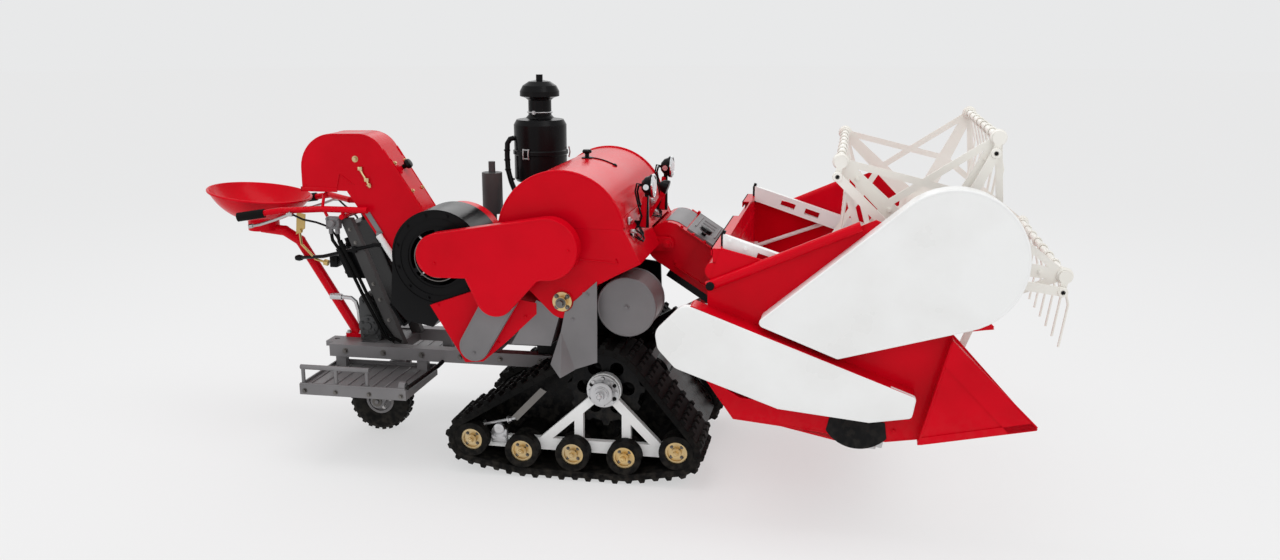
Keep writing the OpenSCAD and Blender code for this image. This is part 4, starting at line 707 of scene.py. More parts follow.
dress(red_enamel, "grain_elevator")
leg_lid = bmesh.new()
sheet(leg_lid, [on_leg(0.16, -78), on_leg(0.16, 38), on_leg(0.90, 38), on_leg(0.90, -78)], 0.003 * LEG_OUT)
for y in (-86, 46):
    pipe(leg_lid, [on_leg(0.03, y), on_leg(0.98, y)], 0.004)
piece("elevator_lid", leg_lid, red_enamel)
hood_seams = bmesh.new()
head_loop = loop_round([(-880, 1085, 105), (-985, 1058, 130)])
head_run = [p for p in head_loop if p.y > 985 and (p.x < -885 or p.y > 1142)]
split = next(i for i in range(len(head_run)) if (head_run[i] - head_run[i - 1]).length > 40)
head_run = head_run[split:] + head_run[:split]
for y in (-88, 48):
    pipe(hood_seams, on_side(y, head_run), 0.0035)
for y in (-91, 51):
    pipe(hood_seams, on_side(y, [(-975, 990), (-962, 1040), (-905, 1000)]), 0.002)
block(hood_seams, spot(-1122, -94, 970), spot(-975, -89, 988), 0.0015)
block(hood_seams, spot(-1122, 49, 970), spot(-975, 54, 988), 0.0015)
block(hood_seams, spot(-1123, -94, 970), spot(-1117, 54, 988), 0.0015)
piece("elevator_seams", hood_seams, red_enamel)
leg_bolts = bmesh.new()
lid_places = [on_leg(share, y, 0.003) for share in (0.2, 0.41, 0.63, 0.86) for y in (-70, 30)]
bolts(leg_bolts, lid_places, LEG_OUT, 0.010)
bolts(leg_bolts, [spot(-896, -90, 1098)], RIGHT, 0.015)
bolts(leg_bolts, [spot(-590, -90, 640)], RIGHT, 0.018)
pipe(leg_bolts, on_side(-96, [(-880, 1066), (-838, 992)]), 0.0045, 10)
bolts(leg_bolts, [spot(-845, -96, 1004)], Vector((0.49, 0, -0.87)), 0.013)
block(leg_bolts, spot(-884, -101, 1056), spot(-866, -89, 1070))
block(leg_bolts, spot(-860, -101, 1014), spot(-842, -89, 1028))
piece("elevator_bolts", leg_bolts, yellow_zinc)
leg_knob = bmesh.new()
turned(leg_knob, [(0, 0), (0.009, 0), (0.009, 0.012), (0.017, 0.016), (0.020, 0.024), (0.016, 0.034),
                  (0, 0.036)], on_leg(0.815, -20, 0.003), LEG_OUT, 24)
piece("elevator_knob", leg_knob, black_enamel)


# Work lamps
# Round lamps on stalks light the crop in front. Each has a chromed rim and a ribbed glass, and
# the black wires are clipped along the red brackets down to the housing.
def collar(bm, profile, place, axis, steps=32):
    """A turned ring: its profile is closed on itself."""
    turned(bm, profile + profile[:1], place, axis, steps)


chrome = coating("chrome", "bare_steel", (0.75, 0.76, 0.77), (0.68, 0.69, 0.70), 0.12,
                 metallic=1.0, relief=0.03)
glass = coating("lamp_glass", "white_paint", (0.86, 0.88, 0.89), (0.80, 0.82, 0.84), 0.10,
                shine=0.8, relief=0.02)
dress(black_enamel, "work_lamps")
LAMPS = ((-200, 1042, 1.0), (200, 1060, 0.5))
lenses = bmesh.new()
lamp_rims = bmesh.new()
brackets = bmesh.new()
wires = bmesh.new()
for y, z, slack in LAMPS:
    centre = spot(262, y, z)
    turned(lenses, [(0, 0), (0.0345, 0), (0.0345, 0.003), (0.030, 0.006), (0.020, 0.0075), (0.010, 0.0085),
                    (0, 0.009)], centre, AHEAD, 32)
    for k in range(-3, 4):
        rib_y = y + 8 * k
        reach = 0.8 * (30 * 30 - (8 * k) ** 2) ** 0.5
        pipe(lenses, route((269.5, rib_y, z - reach), (270.5, rib_y, z), (269.5, rib_y, z + reach)),
             0.0013, 6)
    collar(lamp_rims, [(0.0345, 0.001), (0.0415, 0.001), (0.0425, 0.004), (0.040, 0.0075),
                       (0.036, 0.0075)], centre, AHEAD, 36)
    bolts(lamp_rims, [spot(246, y + 43 * s, z) for s in (-1, 1)], LEFT, 0.012)
    for s in (-1, 1):
        sheet(brackets, on_side(y + 7 * s, [(214, 896), (236, 896), (240, z - 38), (228, z - 38)]),
              Vector((0, 0.003 * s, 0)))
    sheet(brackets, route((236, y - 10, 893), (236, y + 10, 893), (241, y + 10, z - 40),
                          (241, y - 10, z - 40)), Vector((0.003, 0, 0)))
    pipe(wires, route((223, y, z), (212, y + 4, z - 2), (206, y + 10, z - 22), (212, y + 14, z - 60),
                      (224, y + 13, z - 92), (228, y + 12, 920), (214, y + 12, 900), (206, y + 30, 897),
                      (208, y + 80, 893), (209, y + 150, 892)), 0.0038)
    pipe(wires, route((223, y - 6, z + 4), (208, y - 12, z + 8), (203, y - 16, z - 20),
                      (214, y - 14, z - 70), (226, y - 12, 935), (216, y - 14, 905), (207, y - 30, 896),
                      (209, y - 70, 892)), 0.0032)
    for height in (z - 70, 925):
        turned(wires, [(0.004, -0.004), (0.0125, -0.004), (0.0125, 0.004), (0.004, 0.004)],
               spot(226, y + 3, height), UP, 14)
    for reach, droop in ((60, 24), (105, 40), (150, 30)):
        sag = slack * droop
        pipe(wires, route((214, y - 8, 902), (226 + sag / 3, y - reach / 3, 900 - sag),
                          (228 + sag / 3, y - 2 * reach / 3, 896 - sag), (212, y - reach, 896)), 0.003)
piece("lamp_glass", lenses, glass)
piece("lamp_rims", lamp_rims, chrome)
piece("lamp_brackets", brackets, red_enamel)
piece("lamp_wires", wires, black_enamel)
side_lamp = bmesh.new()
turned(side_lamp, [(0, -0.022), (0.010, -0.021), (0.022, -0.010), (0.026, 0.004), (0.027, 0.012),
                   (0.023, 0.014), (0, 0.011)], spot(262, 60, 1004), Vector((0.94, 0, -0.34)), 24)
piece("side_lamp", side_lamp, black_enamel)
side_bracket = bmesh.new()
sheet(side_bracket, route((203, 48, 893), (203, 72, 893), (216, 72, 893), (216, 48, 893)), 0.022 * UP)
for y in (50, 66):
    sheet(side_bracket, on_side(y, [(205, 898), (215, 898), (262, 976), (252, 986)]), 0.004 * LEFT)
bolts(side_bracket, [spot(255, 70, 978)], LEFT, 0.012)
bolts(side_bracket, [spot(255, 50, 978)], RIGHT, 0.012)
piece("side_lamp_bracket", side_bracket, red_enamel)

# Operator's place
# A pressed pan seat on a bent red tube, tubular handlebars with brake levers, and grey uprights
# that hold the black control box, its valve and the levers.
brass = coating("brass", "zinc_plate", (0.62, 0.44, 0.16), (0.45, 0.32, 0.13), 0.36,
                metallic=1.0, relief=0.2)
charcoal_enamel = coating("charcoal_enamel", "grey_paint", (0.060, 0.058, 0.058), (0.045, 0.043, 0.043),
                          0.42, shine=0.2)
dress(red_enamel, "seat", "seat_post", "handlebars")
dress(charcoal_enamel, "rear_uprights")
dress(black_enamel, "control_box", "rear_panel")
dress(track_rubber, "handle_grips")

SEAT_RIM = 0.1945
SEAT_TILT = radians(7)
seat_mid = spot(-1540 + 195 * cos(SEAT_TILT), 0, 945)
tilt = Matrix.Rotation(SEAT_TILT, 3, "Y")
seat_rim = bmesh.new()
pipe(seat_rim, [seat_mid + tilt @ Vector((SEAT_RIM * cos(a), SEAT_RIM * sin(a), -0.0015))
                for a in (2 * pi * k / 72 for k in range(72))], 0.0055, 10, closed=True)
piece("seat_rim", seat_rim, red_enamel)
pan_places = [seat_mid + tilt @ Vector((x / 1000 + 0.005, y / 1000, -0.1056))
              for x in (32, -32) for y in (32, -32)]
foot_places = [spot(-965 + x, y, 400) for x in (-26, 26) for y in (-26, 26)]
fasteners("seat_bolts", worked_steel, (pan_places, tilt @ UP, 0.013), (foot_places, UP, 0.013))

levers = bmesh.new()
cables = bmesh.new()
for side in (-1, 1):
    pipe(levers, route((-1116, side * 200, 906), (-1136, side * 200, 893), (-1180, side * 206, 876),
                       (-1236, side * 214, 858), (-1268, side * 219, 852)), 0.0055, 10)
    solid(levers, [(0.008, -0.008), (0.0085, 0), (0.008, 0.008)], spot(-1270, side * 219, 852),
          Vector((0.97, 0, 0.2)), 14)
    block(levers, spot(-1134, side * 196 - 9, 890), spot(-1108, side * 196 + 9, 904), 0.003)
    pipe(cables, route((-1110, side * 194, 896), (-1078, side * 178, 876), (-1040, side * 150, 862),
                       (-1000, side * 122, 840), (-978, side * 110, 800), (-948, side * 108, 740),
                       (-905, side * 108, 660), (-860, side * 108, 570), (-815, side * 108, 470),
                       (-790, side * 108, 405)), 0.004)
    for clip in on_side(side * 108, [(-948, 740), (-860, 570)]):
        turned(cables, [(0.0035, -0.006), (0.0085, -0.006), (0.0085, 0.006), (0.0035, 0.006)], clip,
               Vector((-0.4, 0, 0.9)), 12)
piece("brake_levers", levers, worked_steel)
piece("brake_cables", cables, black_enamel)

paddle = bmesh.new()
pipe(paddle, route((-1038, -78, 690), (-1090, -72, 702), (-1140, -84, 762), (-1130, -110, 812)), 0.005, 10)
sheet(paddle, on_side(-122, [(-1140, 806), (-1104, 830), (-1098, 886), (-1132, 892)]), 0.006 * LEFT)
solid(paddle, [(0.012, 0), (0.012, 0.016)], spot(-1036, -78, 690), Vector((-1, 0, 0.2)), 16)
bolts(paddle, [spot(-1120, -122, 822)], RIGHT, 0.011)
piece("paddle_lever", paddle, brass)

gear_rod = bmesh.new()
pipe(gear_rod, route((-1176, -34, 697), (-1120, -60, 706), (-1040, -108, 722), (-960, -112, 742),
                     (-811, -112, 778)), 0.007, 10)
turned(gear_rod, [(0, -0.016), (0.010, -0.014), (0.013, 0), (0.010, 0.014), (0, 0.016)],
       spot(-1180, -33, 696), Vector((0.97, -0.2, 0.1)), 16)
block(gear_rod, spot(-835, -118, 768), spot(-800, -106, 784), 0.003)
block(gear_rod, spot(-918, -118, 742), spot(-900, -104, 766))
piece("gear_rod", gear_rod, black_enamel)

valve = bmesh.new()
block(valve, spot(-1010, -134, 834), spot(-956, -104, 880), 0.004)
solid(valve, [(0.014, 0), (0.014, 0.018), (0.009, 0.022)], spot(-982, -133, 857), RIGHT, 18)
for x in (-996, -970):
    solid(valve, [(0.009, 0), (0.009, 0.02)], spot(x, -119, 815), UP, 14)
bolts(valve, [spot(x, -134, z) for x in (-1003, -963) for z in (841, 873)], RIGHT, 0.008)
piece("lift_valve", valve, grey_enamel)
valve_lever = bmesh.new()
pipe(valve_lever, route((-1008, -118, 880), (-1026, -118, 915), (-1034, -84, 955), (-1021, -60, 979)),
     0.006, 10)
piece("valve_lever", valve_lever, red_enamel)
valve_hoses = bmesh.new()
pipe(valve_hoses, route((-996, -119, 818), (-992, -120, 790), (-960, -118, 742), (-920, -116, 660),
                        (-880, -114, 570), (-835, -112, 480), (-800, -110, 412), (-768, -104, 396)),
     0.0065, 10)
pipe(valve_hoses, route((-970, -119, 818), (-966, -120, 790), (-936, -118, 730), (-896, -116, 650),
                        (-856, -114, 560), (-812, -112, 470), (-772, -110, 412), (-740, -104, 396)),
     0.0065, 10)
piece("valve_hoses", valve_hoses, track_rubber, slot="black_paint")

UPRIGHT_LEAN = Vector((-0.375, 0, 0.927))
PANEL_OUT = Vector((-0.927, 0, -0.375))


def upright_x(z):
    """How far back the uprights' rear edge is at a height, in millimetres."""
    return -770 - (z - 384) * 195 / 488


upright_bolts = bmesh.new()
for z in (480, 560, 620, 780, 830):
    bolts(upright_bolts, [spot(upright_x(z) + 28, y, z) for y in (-60, 60)], PANEL_OUT, 0.012)
    bolts(upright_bolts, [spot(upright_x(z) + 22, -105, z)], RIGHT, 0.009)
    bolts(upright_bolts, [spot(upright_x(z) + 22, 105, z)], LEFT, 0.009)
for z in (660, 730):
    bolts(upright_bolts, [spot(upright_x(z) - 75, y, z) for y in (-84, 84)], PANEL_OUT, 0.012)
piece("upright_bolts", upright_bolts, dark_steel)
box_fittings = bmesh.new()
for y in (-62, 0, 62):
    solid(box_fittings, [(0.014, 0), (0.014, 0.016), (0.010, 0.020), (0.010, 0.036)], spot(-978, y, 744),
          UPRIGHT_LEAN, 16)
block(box_fittings, spot(-1050, -40, 664), spot(-1018, 40, 712), 0.004)
piece("box_fittings", box_fittings, black_enamel)

crank_handle = bmesh.new()
pipe(crank_handle, on_side(-20, [(-1021, 542), (-975, 540), (-958, 525), (-948, 490), (-946, 448),
                                 (-930, 432), (-778, 430)]), 0.008, 12)
pipe(crank_handle, on_side(-20, [(-1062, 544), (-1015, 542)]), 0.013, 12)
piece("crank_handle", crank_handle, worked_steel)

# Chaff leaves through a square black duct at the elevator's foot, and a white damper stands above it.
duct = bmesh.new()
DUCT_CORNERS = [(-714, 584), (-644, 626), (-578, 566), (-664, 503)]
duct_mid = Vector((-650, 570))
for start, end in zip(DUCT_CORNERS, DUCT_CORNERS[1:] + DUCT_CORNERS[:1]):
    inward = duct_mid - (Vector(start) + Vector(end)) / 2
    wall = 0.005 * Vector((inward.x, 0, inward.y)).normalized()
    for near, far, lift in ((-250, -60, 0.0), (-254, -240, 0.004)):
        row = [spot(x, y, z) - lift * wall.normalized() for (x, z), y in
               ((start, near), (end, near), (end, far), (start, far))]
        sheet(duct, row, wall)
piece("chaff_duct", duct, black_enamel)
damper = bmesh.new()
pipe(damper, on_side(-102, [(-812, 812), (-752, 718)]), 0.0125, 16)
piece("damper_barrel", damper, white_enamel)
damper_rod = bmesh.new()
pipe(damper_rod, on_side(-102, [(-754, 721), (-730, 684)]), 0.007, 14)
solid(damper_rod, [(0.012, -0.009), (0.012, 0.009)], spot(-728, -99, 681), LEFT, 18)
piece("damper_rod", damper_rod, brass)
damper_strip = bmesh.new()
block(damper_strip, spot(-822, -104, 808), spot(-806, -89, 822))
sheet(damper_strip, on_side(-96, [(-866, 893), (-848, 898), (-798, 818), (-816, 813)]), 0.007 * LEFT)
piece("damper_strip", damper_strip, grey_enamel)

# A dark cast gear case stands on the rear crossmembers, and the crank turns the shaft in it.
SIDES = ((-1, RIGHT), (1, LEFT))
CASE_HALF = 68
CASE_AXIS = (-884, 446)
CASE_OUTLINE = [(-926, 384), (-838, 384), (-838, 452), (-866, 548), (-884, 566), (-912, 566), (-926, 552)]
gear_case = bmesh.new()
sheet(gear_case, on_side(-CASE_HALF, CASE_OUTLINE), 2 * CASE_HALF / 1000 * LEFT)
bmesh.ops.bevel(gear_case, geom=gear_case.edges[:], offset=0.008, segments=2, profile=0.5, affect="EDGES",
                material=-1)
for side, way in SIDES:
    solid(gear_case, [(0.040, -0.004), (0.040, 0.010), (0.034, 0.014), (0.016, 0.014), (0.014, 0.020)],
          on_side(side * CASE_HALF, [CASE_AXIS])[0], way, 28)
    bolts(gear_case, arc(*CASE_AXIS, 27, side * (CASE_HALF + 14), 30, 330, 5), way, 0.008)
    bolts(gear_case, on_side(side * CASE_HALF, [(-910, 402), (-852, 402), (-908, 540)]), way, 0.010)
piece("gear_case", gear_case, dark_casting)

# Foot platforms
# Folded trays with pressed grip ribs hang beside the frame, each with a tubular hand rail.
# They are grey sheet, bolted on at the outer edge.
dress(grey_enamel, "foot_platforms")
treads = bmesh.new()
for side in (-1, 1):
    for i in range(8):
        x = -985 + 48 * i
        pipe(treads, route((x, side * 125, 300.4), (x, side * 395, 300.4)), 0.0035)
    for reach in (417, 103):
        pipe(treads, route((-1007, side * reach, 310.5), (-602, side * reach, 310.5)), 0.0042)
    collar(treads, [(0.013, -0.010), (0.017, -0.010), (0.017, 0.014), (0.013, 0.014)],
           spot(-618, side * 400, 318), AHEAD, 20)
piece("tread_ribs", treads, grey_enamel)
TRAY_BOLTS = [(x, 285) for x in (-990, -870, -740, -618)]
fasteners("tray_bolts", dark_steel, *[(on_side(side * 420, TRAY_BOLTS), way, 0.011)
                                      for side, way in SIDES])
stay = bmesh.new()
pipe(stay, route((-592, -418, 318), (-584, -380, 322), (-570, -290, 330), (-556, -200, 338),
                 (-552, -164, 344)), 0.008, 10)
piece("tray_stay", stay, black_enamel)

# Tail wheel
# A small trailing wheel on a swivel fork, with a blocky rubber tread on a dished grey rim.
# The rim is bolted up from two halves, and nuts hold the axle in the fork.
tyre_rubber = coating("tyre_rubber", "tyre_rubber", (0.005, 0.005, 0.005), (0.009, 0.009, 0.0085), 0.60,
                      shine=0.08, grain=120, relief=0.4, dust_top=0.2, dust_most=0.08)
dress(grey_enamel, "tail_fork", "tail_rim")
dress(tyre_rubber, "tail_tyre")
TAIL_AXIS = (-876, 127)
tail_mid = on_side(0, [TAIL_AXIS])[0]
tread_mesh = bmesh.new()
half_tread = [(0.0585, 0.0255), (0.070, 0.033), (0.086, 0.0375), (0.100, 0.0380), (0.110, 0.0345),
              (0.117, 0.028), (0.1205, 0.020), (0.1205, 0.004), (0.117, 0.003)]
far_half = [(radius, -width) for radius, width in half_tread]
turned(tread_mesh, far_half + half_tread[::-1] + far_half[:1], tail_mid, LEFT, 64)
TREAD_BLOCKS = 26
for k in range(TREAD_BLOCKS):
    for side in (-1, 1):
        turn = Matrix.Rotation(2 * pi * (k + 0.25 * side) / TREAD_BLOCKS, 4, "Y")
        seat = Matrix.Translation(tail_mid) @ turn @ Matrix.Translation((0, side * 0.0145, 0.1225))
        lean = Matrix.Rotation(radians(24 * side), 4, "Z")
        size = Matrix.Diagonal((0.016, 0.020, 0.0075, 1))
        dots = bmesh.ops.create_cube(tread_mesh, size=1.0, matrix=seat @ lean @ size)["verts"]
        edges = list({e for v in dots for e in v.link_edges})
        bmesh.ops.bevel(tread_mesh, geom=edges, offset=0.0012, segments=1, profile=0.5, affect="EDGES",
                        material=-1)
tread = piece("tail_tread", tread_mesh, tyre_rubber, "tail_wheel")
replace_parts(tread, "tail_tyre")
fasteners("wheel_bolts", worked_steel, *[(arc(*TAIL_AXIS, 36, side * 11.8, 0, 288, 4), way, 0.011)
                                         for side, way in SIDES], body="tail_wheel")
fork_nuts = bmesh.new()
for side, way in SIDES:
    collar(fork_nuts, [(0.0095, 0), (0.020, 0), (0.020, 0.003), (0.0095, 0.003)],
           tail_mid + Vector((0, side * 0.052, 0)), way, 24)
    bolts(fork_nuts, on_side(side * 52, [(-834, 266), (-784, 266)]), way, 0.012)
piece("fork_nuts", fork_nuts, dark_steel, "tail_fork")

# Feeder
# A slanted red box with a chain conveyor inside, hung on two pins at the thresher. A grey lid
# on top opens to clear it, and a black sheet closes its belly.
dress(red_enamel, "feeder_house")
dress(grey_enamel, "feeder_lid")
dress(black_enamel, "feeder_belly", "lift_barrel")
dress(worked_steel, "lift_rod")
FEED_AXIS = (285, 800)
FEED_PIVOT = Vector((FEED_AXIS[0], 0, FEED_AXIS[1]))
FEED_ALONG = Vector((265, 0, -170)).normalized()
FEED_OUT = Vector((170, 0, 265)).normalized()


def on_feeder(along, y, out):
    """A place from the feeder's pivot, in millimetres along it, across the machine and out of its top."""
    place = FEED_PIVOT + along * FEED_ALONG + out * FEED_OUT
    return spot(place.x, y, place.z)


feeder_trim = bmesh.new()
for y, lip in ((0, -4), (350, 4)):
    for start, end, reach, out in ((-6, 272, 4 * lip, 79), (66, 346, 2 * lip, -56)):
        sheet(feeder_trim, [on_feeder(start, y, out), on_feeder(start, y + reach, out),
                            on_feeder(end, y + reach, out), on_feeder(end, y, out)], 0.003 * FEED_OUT)
    for along in (92, 178):
        sheet(feeder_trim, [on_feeder(along, y, -52), on_feeder(along, y + lip, -52),
                            on_feeder(along, y + lip, 78), on_feeder(along, y, 78)], 0.003 * FEED_ALONG)
piece("feeder_flanges", feeder_trim, red_enamel, "header")
near_places = [on_feeder(along, -8, 82) for along in (10, 60, 110, 160, 210, 255)]
far_places = [on_feeder(along, 358, 82) for along in (180, 215, 255)]
low_places = [on_feeder(along, -0.2, -44) for along in (60, 215)]
fasteners("feeder_bolts", red_enamel, (near_places, FEED_OUT, 0.009), (far_places, FEED_OUT, 0.009),
          (low_places, RIGHT, 0.008), (on_side(-24.4, [FEED_AXIS]), RIGHT, 0.020),
          (on_side(374.4, [FEED_AXIS]), LEFT, 0.020), body="header")
crown_sheet = bmesh.new()
crown = arc(*FEED_AXIS, 82, 40, 100, 57.3, 8) + [on_feeder(24, 40, 82), on_feeder(24, 40, 79.5)]
sheet(crown_sheet, crown + arc(*FEED_AXIS, 79.5, 40, 57.3, 100, 8), 0.295 * LEFT)
piece("feeder_crown", crown_sheet, grey_enamel, "header")
lid_ribs = bmesh.new()
for along in (48, 132):
    pipe(lid_ribs, [on_feeder(along, 110, 88.5), on_feeder(along, 320, 88.5)], 0.004)
for y in (130, 180, 230, 280):
    pipe(lid_ribs, [on_feeder(62, y, 88.4), on_feeder(118, y, 88.4)], 0.003)
piece("lid_ribs", lid_ribs, grey_enamel, "lid")
lid_knob = bmesh.new()
solid(lid_knob, [(0.0095, 0), (0.0095, 0.012), (0.021, 0.0145), (0.0245, 0.021), (0.0215, 0.0285),
                 (0.010, 0.0305)], on_feeder(90, 60, 87.5), FEED_OUT, 24)
piece("lid_knob", lid_knob, black_enamel, "lid")

lift_trim = bmesh.new()
LIFT_ALONG = Vector((253, 0, 147)).normalized()
LIFT_BASE = spot(165, 80, 430)
for reach in (0.040, 0.168):
    collar(lift_trim, [(0.0238, -0.006), (0.027, -0.006), (0.027, 0.006), (0.0238, 0.006)],
           LIFT_BASE + reach * LIFT_ALONG, LIFT_ALONG, 28)
solid(lift_trim, [(0.009, 0), (0.009, 0.016), (0.006, 0.018), (0.006, 0.026)],
      LIFT_BASE + 0.060 * LIFT_ALONG + Vector((0, -0.023, 0)), RIGHT, 16)
piece("lift_collars", lift_trim, black_enamel, "lift_barrel")

# Header
# A red welded trough with an auger, side plates with pointed dividers and a knife in front. White
# folded sheets guard the reel's belt and the knife's crank on the right side.
dress(red_enamel, "header_trough", "header_sides", "auger", "knife_box")
dress(white_enamel, "reel_guard", "knife_guard")
dress(worked_steel, "cutter_bar")
dress(black_enamel, "skids")

PLATE_IN = 597
PLATE_OUT = 602
header_folds = bmesh.new()
for low, high in ((-596, 40), (385, 596)):
    sheet(header_folds, route((520, low, 901), (551, low, 901), (551, high, 901), (520, high, 901)),
          0.004 * UP)
    sheet(header_folds, route((520, low, 905), (524, low, 905), (524, high, 905), (520, high, 905)),
          -0.022 * UP)
for y in (-PLATE_IN, -330, -60, 430, 592):
    sheet(header_folds, on_side(y, [(526, 858), (551, 858), (551, 902), (526, 902)]), 0.005 * LEFT)
for side in (-1, 1):
    face = side * 599.5
    edge = side * 657
    outward = side * 0.005 * LEFT
    pipe(header_folds, on_side(face, [(514, 472), (601, 348), (1086, 303), (1180, 318)]), 0.0042)
    pipe(header_folds, on_side(face, [(1250, 689), (1092, 983), (1024, 1009)]), 0.0042)
    pipe(header_folds, route((1275, side * 655, 648), (1540, side * 605, 379)), 0.0042)
    pipe(header_folds, route((1190, side * 655, 321), (1540, side * 605, 374)), 0.0042)
    pipe(header_folds, on_side(edge, [(1184, 320), (1270, 656)]), 0.0038)
    for plug in on_side(side * PLATE_OUT, [(560, 470), (640, 500), (760, 640)]):
        solid(header_folds, [(0.022, 0), (0.020, 0.004)], plug, side * LEFT, 20)
    sheet(header_folds, on_side(side * PLATE_IN, [(513, 786), (551, 905), (700, 868)]),
          Vector((0, side * 0.005, 0)))
    pipe(header_folds, on_side(face, [(551, 905), (700, 868)]), 0.004)
    foot, crown, tip = spot(1184, edge, 319), spot(1271, edge, 658), spot(1540, side * 607, 376)
    sheet(header_folds, [crown, tip, tip.lerp(foot, 0.24), crown.lerp(foot, 0.24)], outward)
    sheet(header_folds, [foot, tip, tip.lerp(crown, 0.07), foot.lerp(crown, 0.07)], outward)
piece("header_folds", header_folds, red_enamel, "header")
rim_plugs = bmesh.new()
for side, way in SIDES:
    turned(rim_plugs, [(0, -0.002), (0.014, -0.002), (0.014, 0.004), (0.011, 0.007), (0, 0.008)],
           spot(523, side * 629, 790), way, 20)
piece("rim_plugs", rim_plugs, black_enamel, "header")

# A curved black shoe guards each end of the knife.
knife_shoes = bmesh.new()
for side in (-1, 1):
    top = on_side(side * PLATE_IN, [(1082, 366), (908, 372)])
    sheet(knife_shoes, arc(1000, 392, 120, side * PLATE_IN, 212, 318, 16) + top,
          Vector((0, side * 0.007, 0)))
piece("knife_shoes", knife_shoes, black_enamel, "header")

rim_loop = loop_round([(700, 694, 11), (928, 606, 11), (1259, 908, 212)])
rolled_rim("guard_rims", rim_loop, -686.5, white_enamel, "header")

# The knife's guard is a pressed cover with well-rounded rear corners and a rolled front edge.
knife_loop = loop_round([(400, 636, 42), (404, 612, 42), (458, 694, 43), (444, 566, 40), (751, 431, 14),
                         (1030, 404, 14), (1147, 424, 14), (1155, 470, 14)])
knife_cover = bmesh.new()
sheet(knife_cover, on_side(-690, knife_loop), Vector((0, 0.022, 0)))
front = [e for e in knife_cover.edges if all(v.co.y < spot(0, -689, 0).y for v in e.verts)]
bmesh.ops.bevel(knife_cover, geom=front, offset=0.006, segments=3, profile=0.5, affect="EDGES", material=-1)
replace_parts(piece("knife_cover", knife_cover, white_enamel, "header", "white_paint"), "knife_guard")

SIDE_BOLTS = [(1110, 340), (1130, 650), (540, 480), (560, 660)]
fasteners("side_bolts", red_enamel, *[(on_side(side * PLATE_OUT, SIDE_BOLTS), way, 0.010)
                                      for side, way in SIDES], body="header")

# Pairs of bolts hold the knife's clips down, and flange bearings carry the auger's shaft.
auger_x, auger_z = 690, 485
TROUGH_RADIUS = 140
FLOOR_RUN = 330
FLOOR_DIP = radians(11.7)
TANGENT = radians(258.3)
knife_line = Vector((auger_x + TROUGH_RADIUS * cos(TANGENT) + FLOOR_RUN * cos(FLOOR_DIP), 0,
                     auger_z + TROUGH_RADIUS * sin(TANGENT) - FLOOR_RUN * sin(FLOOR_DIP)))
knife_along = Vector((cos(FLOOR_DIP), 0, -sin(FLOOR_DIP)))
knife_out = Vector((sin(FLOOR_DIP), 0, cos(FLOOR_DIP)))
clip_line = knife_line - 16 * knife_along + 5 * knife_out
clip_places = [spot(clip_line.x, -PLATE_IN + k * 2 * PLATE_IN / 15 + shift, clip_line.z)
               for k in range(1, 15) for shift in (-10, 10)]
fasteners("knife_clips", dark_steel, (clip_places, knife_out, 0.009), body="header")
auger_ends = bmesh.new()
for side, way in SIDES:
    collar(auger_ends, [(0.0215, 0), (0.052, 0), (0.050, 0.006), (0.032, 0.009), (0.030, 0.014),
                        (0.0215, 0.014)], spot(auger_x, side * PLATE_OUT, auger_z), way, 32)
    bolts(auger_ends, arc(auger_x, auger_z, 42, side * 608, 45, 315, 3), way, 0.010)
piece("auger_bearings", auger_ends, dark_casting, "header")

# Reel
# Two lattice spiders carry five tine bars, and an eccentric ring on the right keeps the tines
# hanging. It is painted cream, and the lifting arms are white box sections with stay rods.
cream_enamel = coating("cream_enamel", "cream_paint", (0.86, 0.84, 0.79), (0.80, 0.775, 0.715), 0.38,
                       relief=0.1)
dress(white_enamel, "reel_arms")
dress(cream_enamel, "reel", "eccentric_ring", *[f"tine_bar_{i}" for i in range(1, 6)])
REEL_MID = Vector((1203, 0, 895))
REEL_RADIUS = 405
RING_SHIFT = 45 * Vector((cos(radians(-100)), 0, sin(radians(-100))))
BAR_ANGLES = [radians(-8 + 72 * i) for i in range(5)]
bar_lines = [REEL_MID + REEL_RADIUS * Vector((cos(a), 0, sin(a))) for a in BAR_ANGLES]

bar_bearings = bmesh.new()
for line in bar_lines:
    for y in (-496, 490):
        collar(bar_bearings, [(0.0135, 0), (0.025, 0), (0.025, 0.006), (0.021, 0.010), (0.0135, 0.010)],
               spot(line.x, y, line.z), RIGHT, 28)
for side, way in SIDES:
    collar(bar_bearings, [(0.0205, 0), (0.050, 0), (0.050, 0.005), (0.034, 0.008), (0.032, 0.024),
                          (0.0205, 0.024)], spot(REEL_MID.x, side * 490, REEL_MID.z), -way, 32)
piece("bar_bearings", bar_bearings, cream_enamel, "reel")
reel_bolts = bmesh.new()
for side, way in SIDES:
    for a in BAR_ANGLES:
        out = Vector((cos(a), 0, sin(a)))
        across = Vector((-sin(a), 0, cos(a)))
        for reach, shift in ((62, 14), (62, -14), (190, 0), (330, 0)):
            place = REEL_MID + reach * out + shift * across
            bolts(reel_bolts, [spot(place.x, side * 496, place.z)], way, 0.011)
piece("reel_bolts", reel_bolts, cream_enamel, "reel")

ring_mid = REEL_MID + RING_SHIFT
ring_trim = bmesh.new()
for a in BAR_ANGLES:
    pin = ring_mid + REEL_RADIUS * Vector((cos(a), 0, sin(a)))
    collar(ring_trim, [(0.0075, 0), (0.0155, 0), (0.0145, 0.005), (0.0075, 0.006)],
           spot(pin.x, -531, pin.z), RIGHT, 24)
pipe(ring_trim, arc(ring_mid.x, ring_mid.z, 107, -530.5, 0, 354, 59), 0.0035, closed=True)
piece("ring_bosses", ring_trim, cream_enamel, "eccentric")

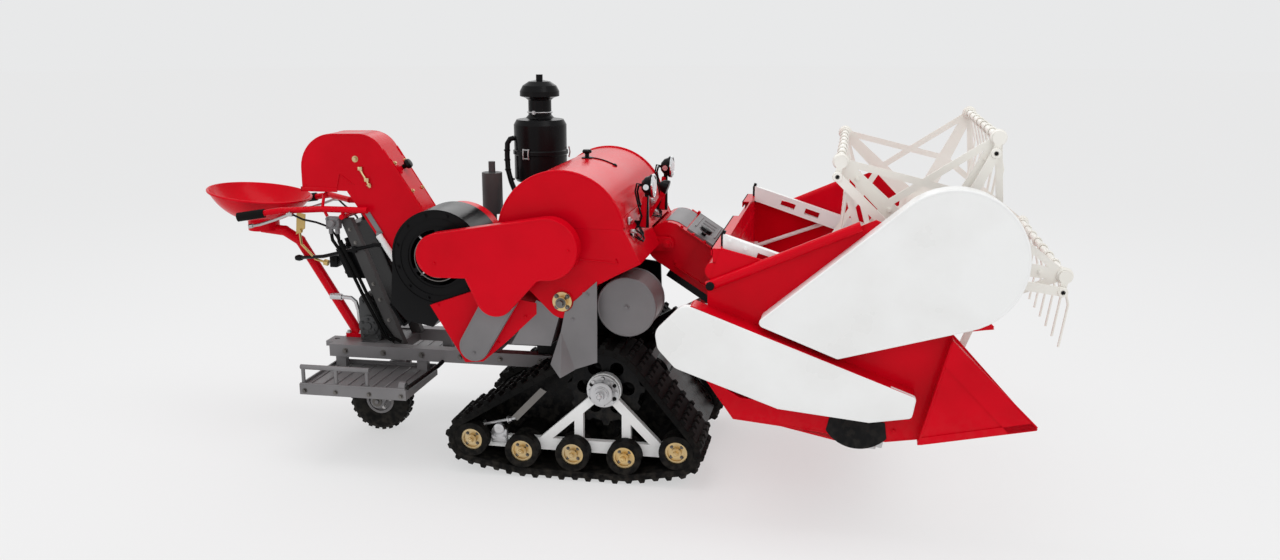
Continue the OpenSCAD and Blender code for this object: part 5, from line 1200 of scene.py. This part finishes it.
TINES = 8
TINE_END = 455
COIL_RADIUS = 15.2
for i, line in enumerate(bar_lines, start=1):
    springs = bmesh.new()
    for j in range(TINES):
        y = -TINE_END + j * 2 * TINE_END / (TINES - 1)
        turns = [2 * pi * k / 12 - pi / 2 for k in range(31)]
        coil = [spot(line.x + COIL_RADIUS * cos(a), y + 6 + 0.52 * k, line.z + COIL_RADIUS * sin(a))
                for k, a in enumerate(turns)]
        pipe(springs, coil, 0.0026, 6)
        pipe(springs, route((line.x, y + 6, line.z - COIL_RADIUS), (line.x + 4, y + 2, line.z - 22),
                            (line.x + 7, y, line.z - 32)), 0.0032, 6)
        collar(springs, [(0.0118, -0.004), (0.0165, -0.004), (0.0165, 0.004), (0.0118, 0.004)],
               spot(line.x, y + 27, line.z), LEFT, 18)
    piece(f"tine_springs_{i}", springs, cream_enamel, f"tine_bar_{i}")
    ends = bmesh.new()
    pin = line + RING_SHIFT
    solid(ends, [(0.0055, 0), (0.0055, 0.003), (0.004, 0.0045)], spot(pin.x, -534, pin.z), RIGHT, 16)
    turned(ends, [(0, 0), (0.0125, 0), (0.0125, 0.006), (0.009, 0.010), (0, 0.0105)],
           spot(line.x, 509.8, line.z), LEFT, 20)
    piece(f"bar_ends_{i}", ends, black_enamel, f"tine_bar_{i}")

ARM_FACE = 575
arm_trim = bmesh.new()
arm_hooks = bmesh.new()
for side, way in SIDES:
    sheet(arm_trim, on_side(side * ARM_FACE, [(557, 876), (650, 860), (650, 912), (557, 948)]),
          Vector((0, side * 0.004, 0)))
    bolts(arm_trim, on_side(side * (ARM_FACE + 4), [(578, 928), (628, 904)]), way, 0.009)
    solid(arm_trim, [(0.030, 0), (0.030, 0.006), (0.022, 0.010)],
          spot(REEL_MID.x, side * ARM_FACE, REEL_MID.z), way, 28)
    bolts(arm_trim, [spot(REEL_MID.x, side * (ARM_FACE + 10), REEL_MID.z)], way, 0.020)
    bolts(arm_trim, [spot(1100, side * ARM_FACE, 738)], way, 0.022)
    pipe(arm_hooks, on_side(side * 552, [(556, 878), (552, 900), (552, 940), (558, 956)]), 0.006, 10)
piece("arm_fittings", arm_trim, white_enamel, "header")
piece("arm_hooks", arm_hooks, black_enamel, "header")
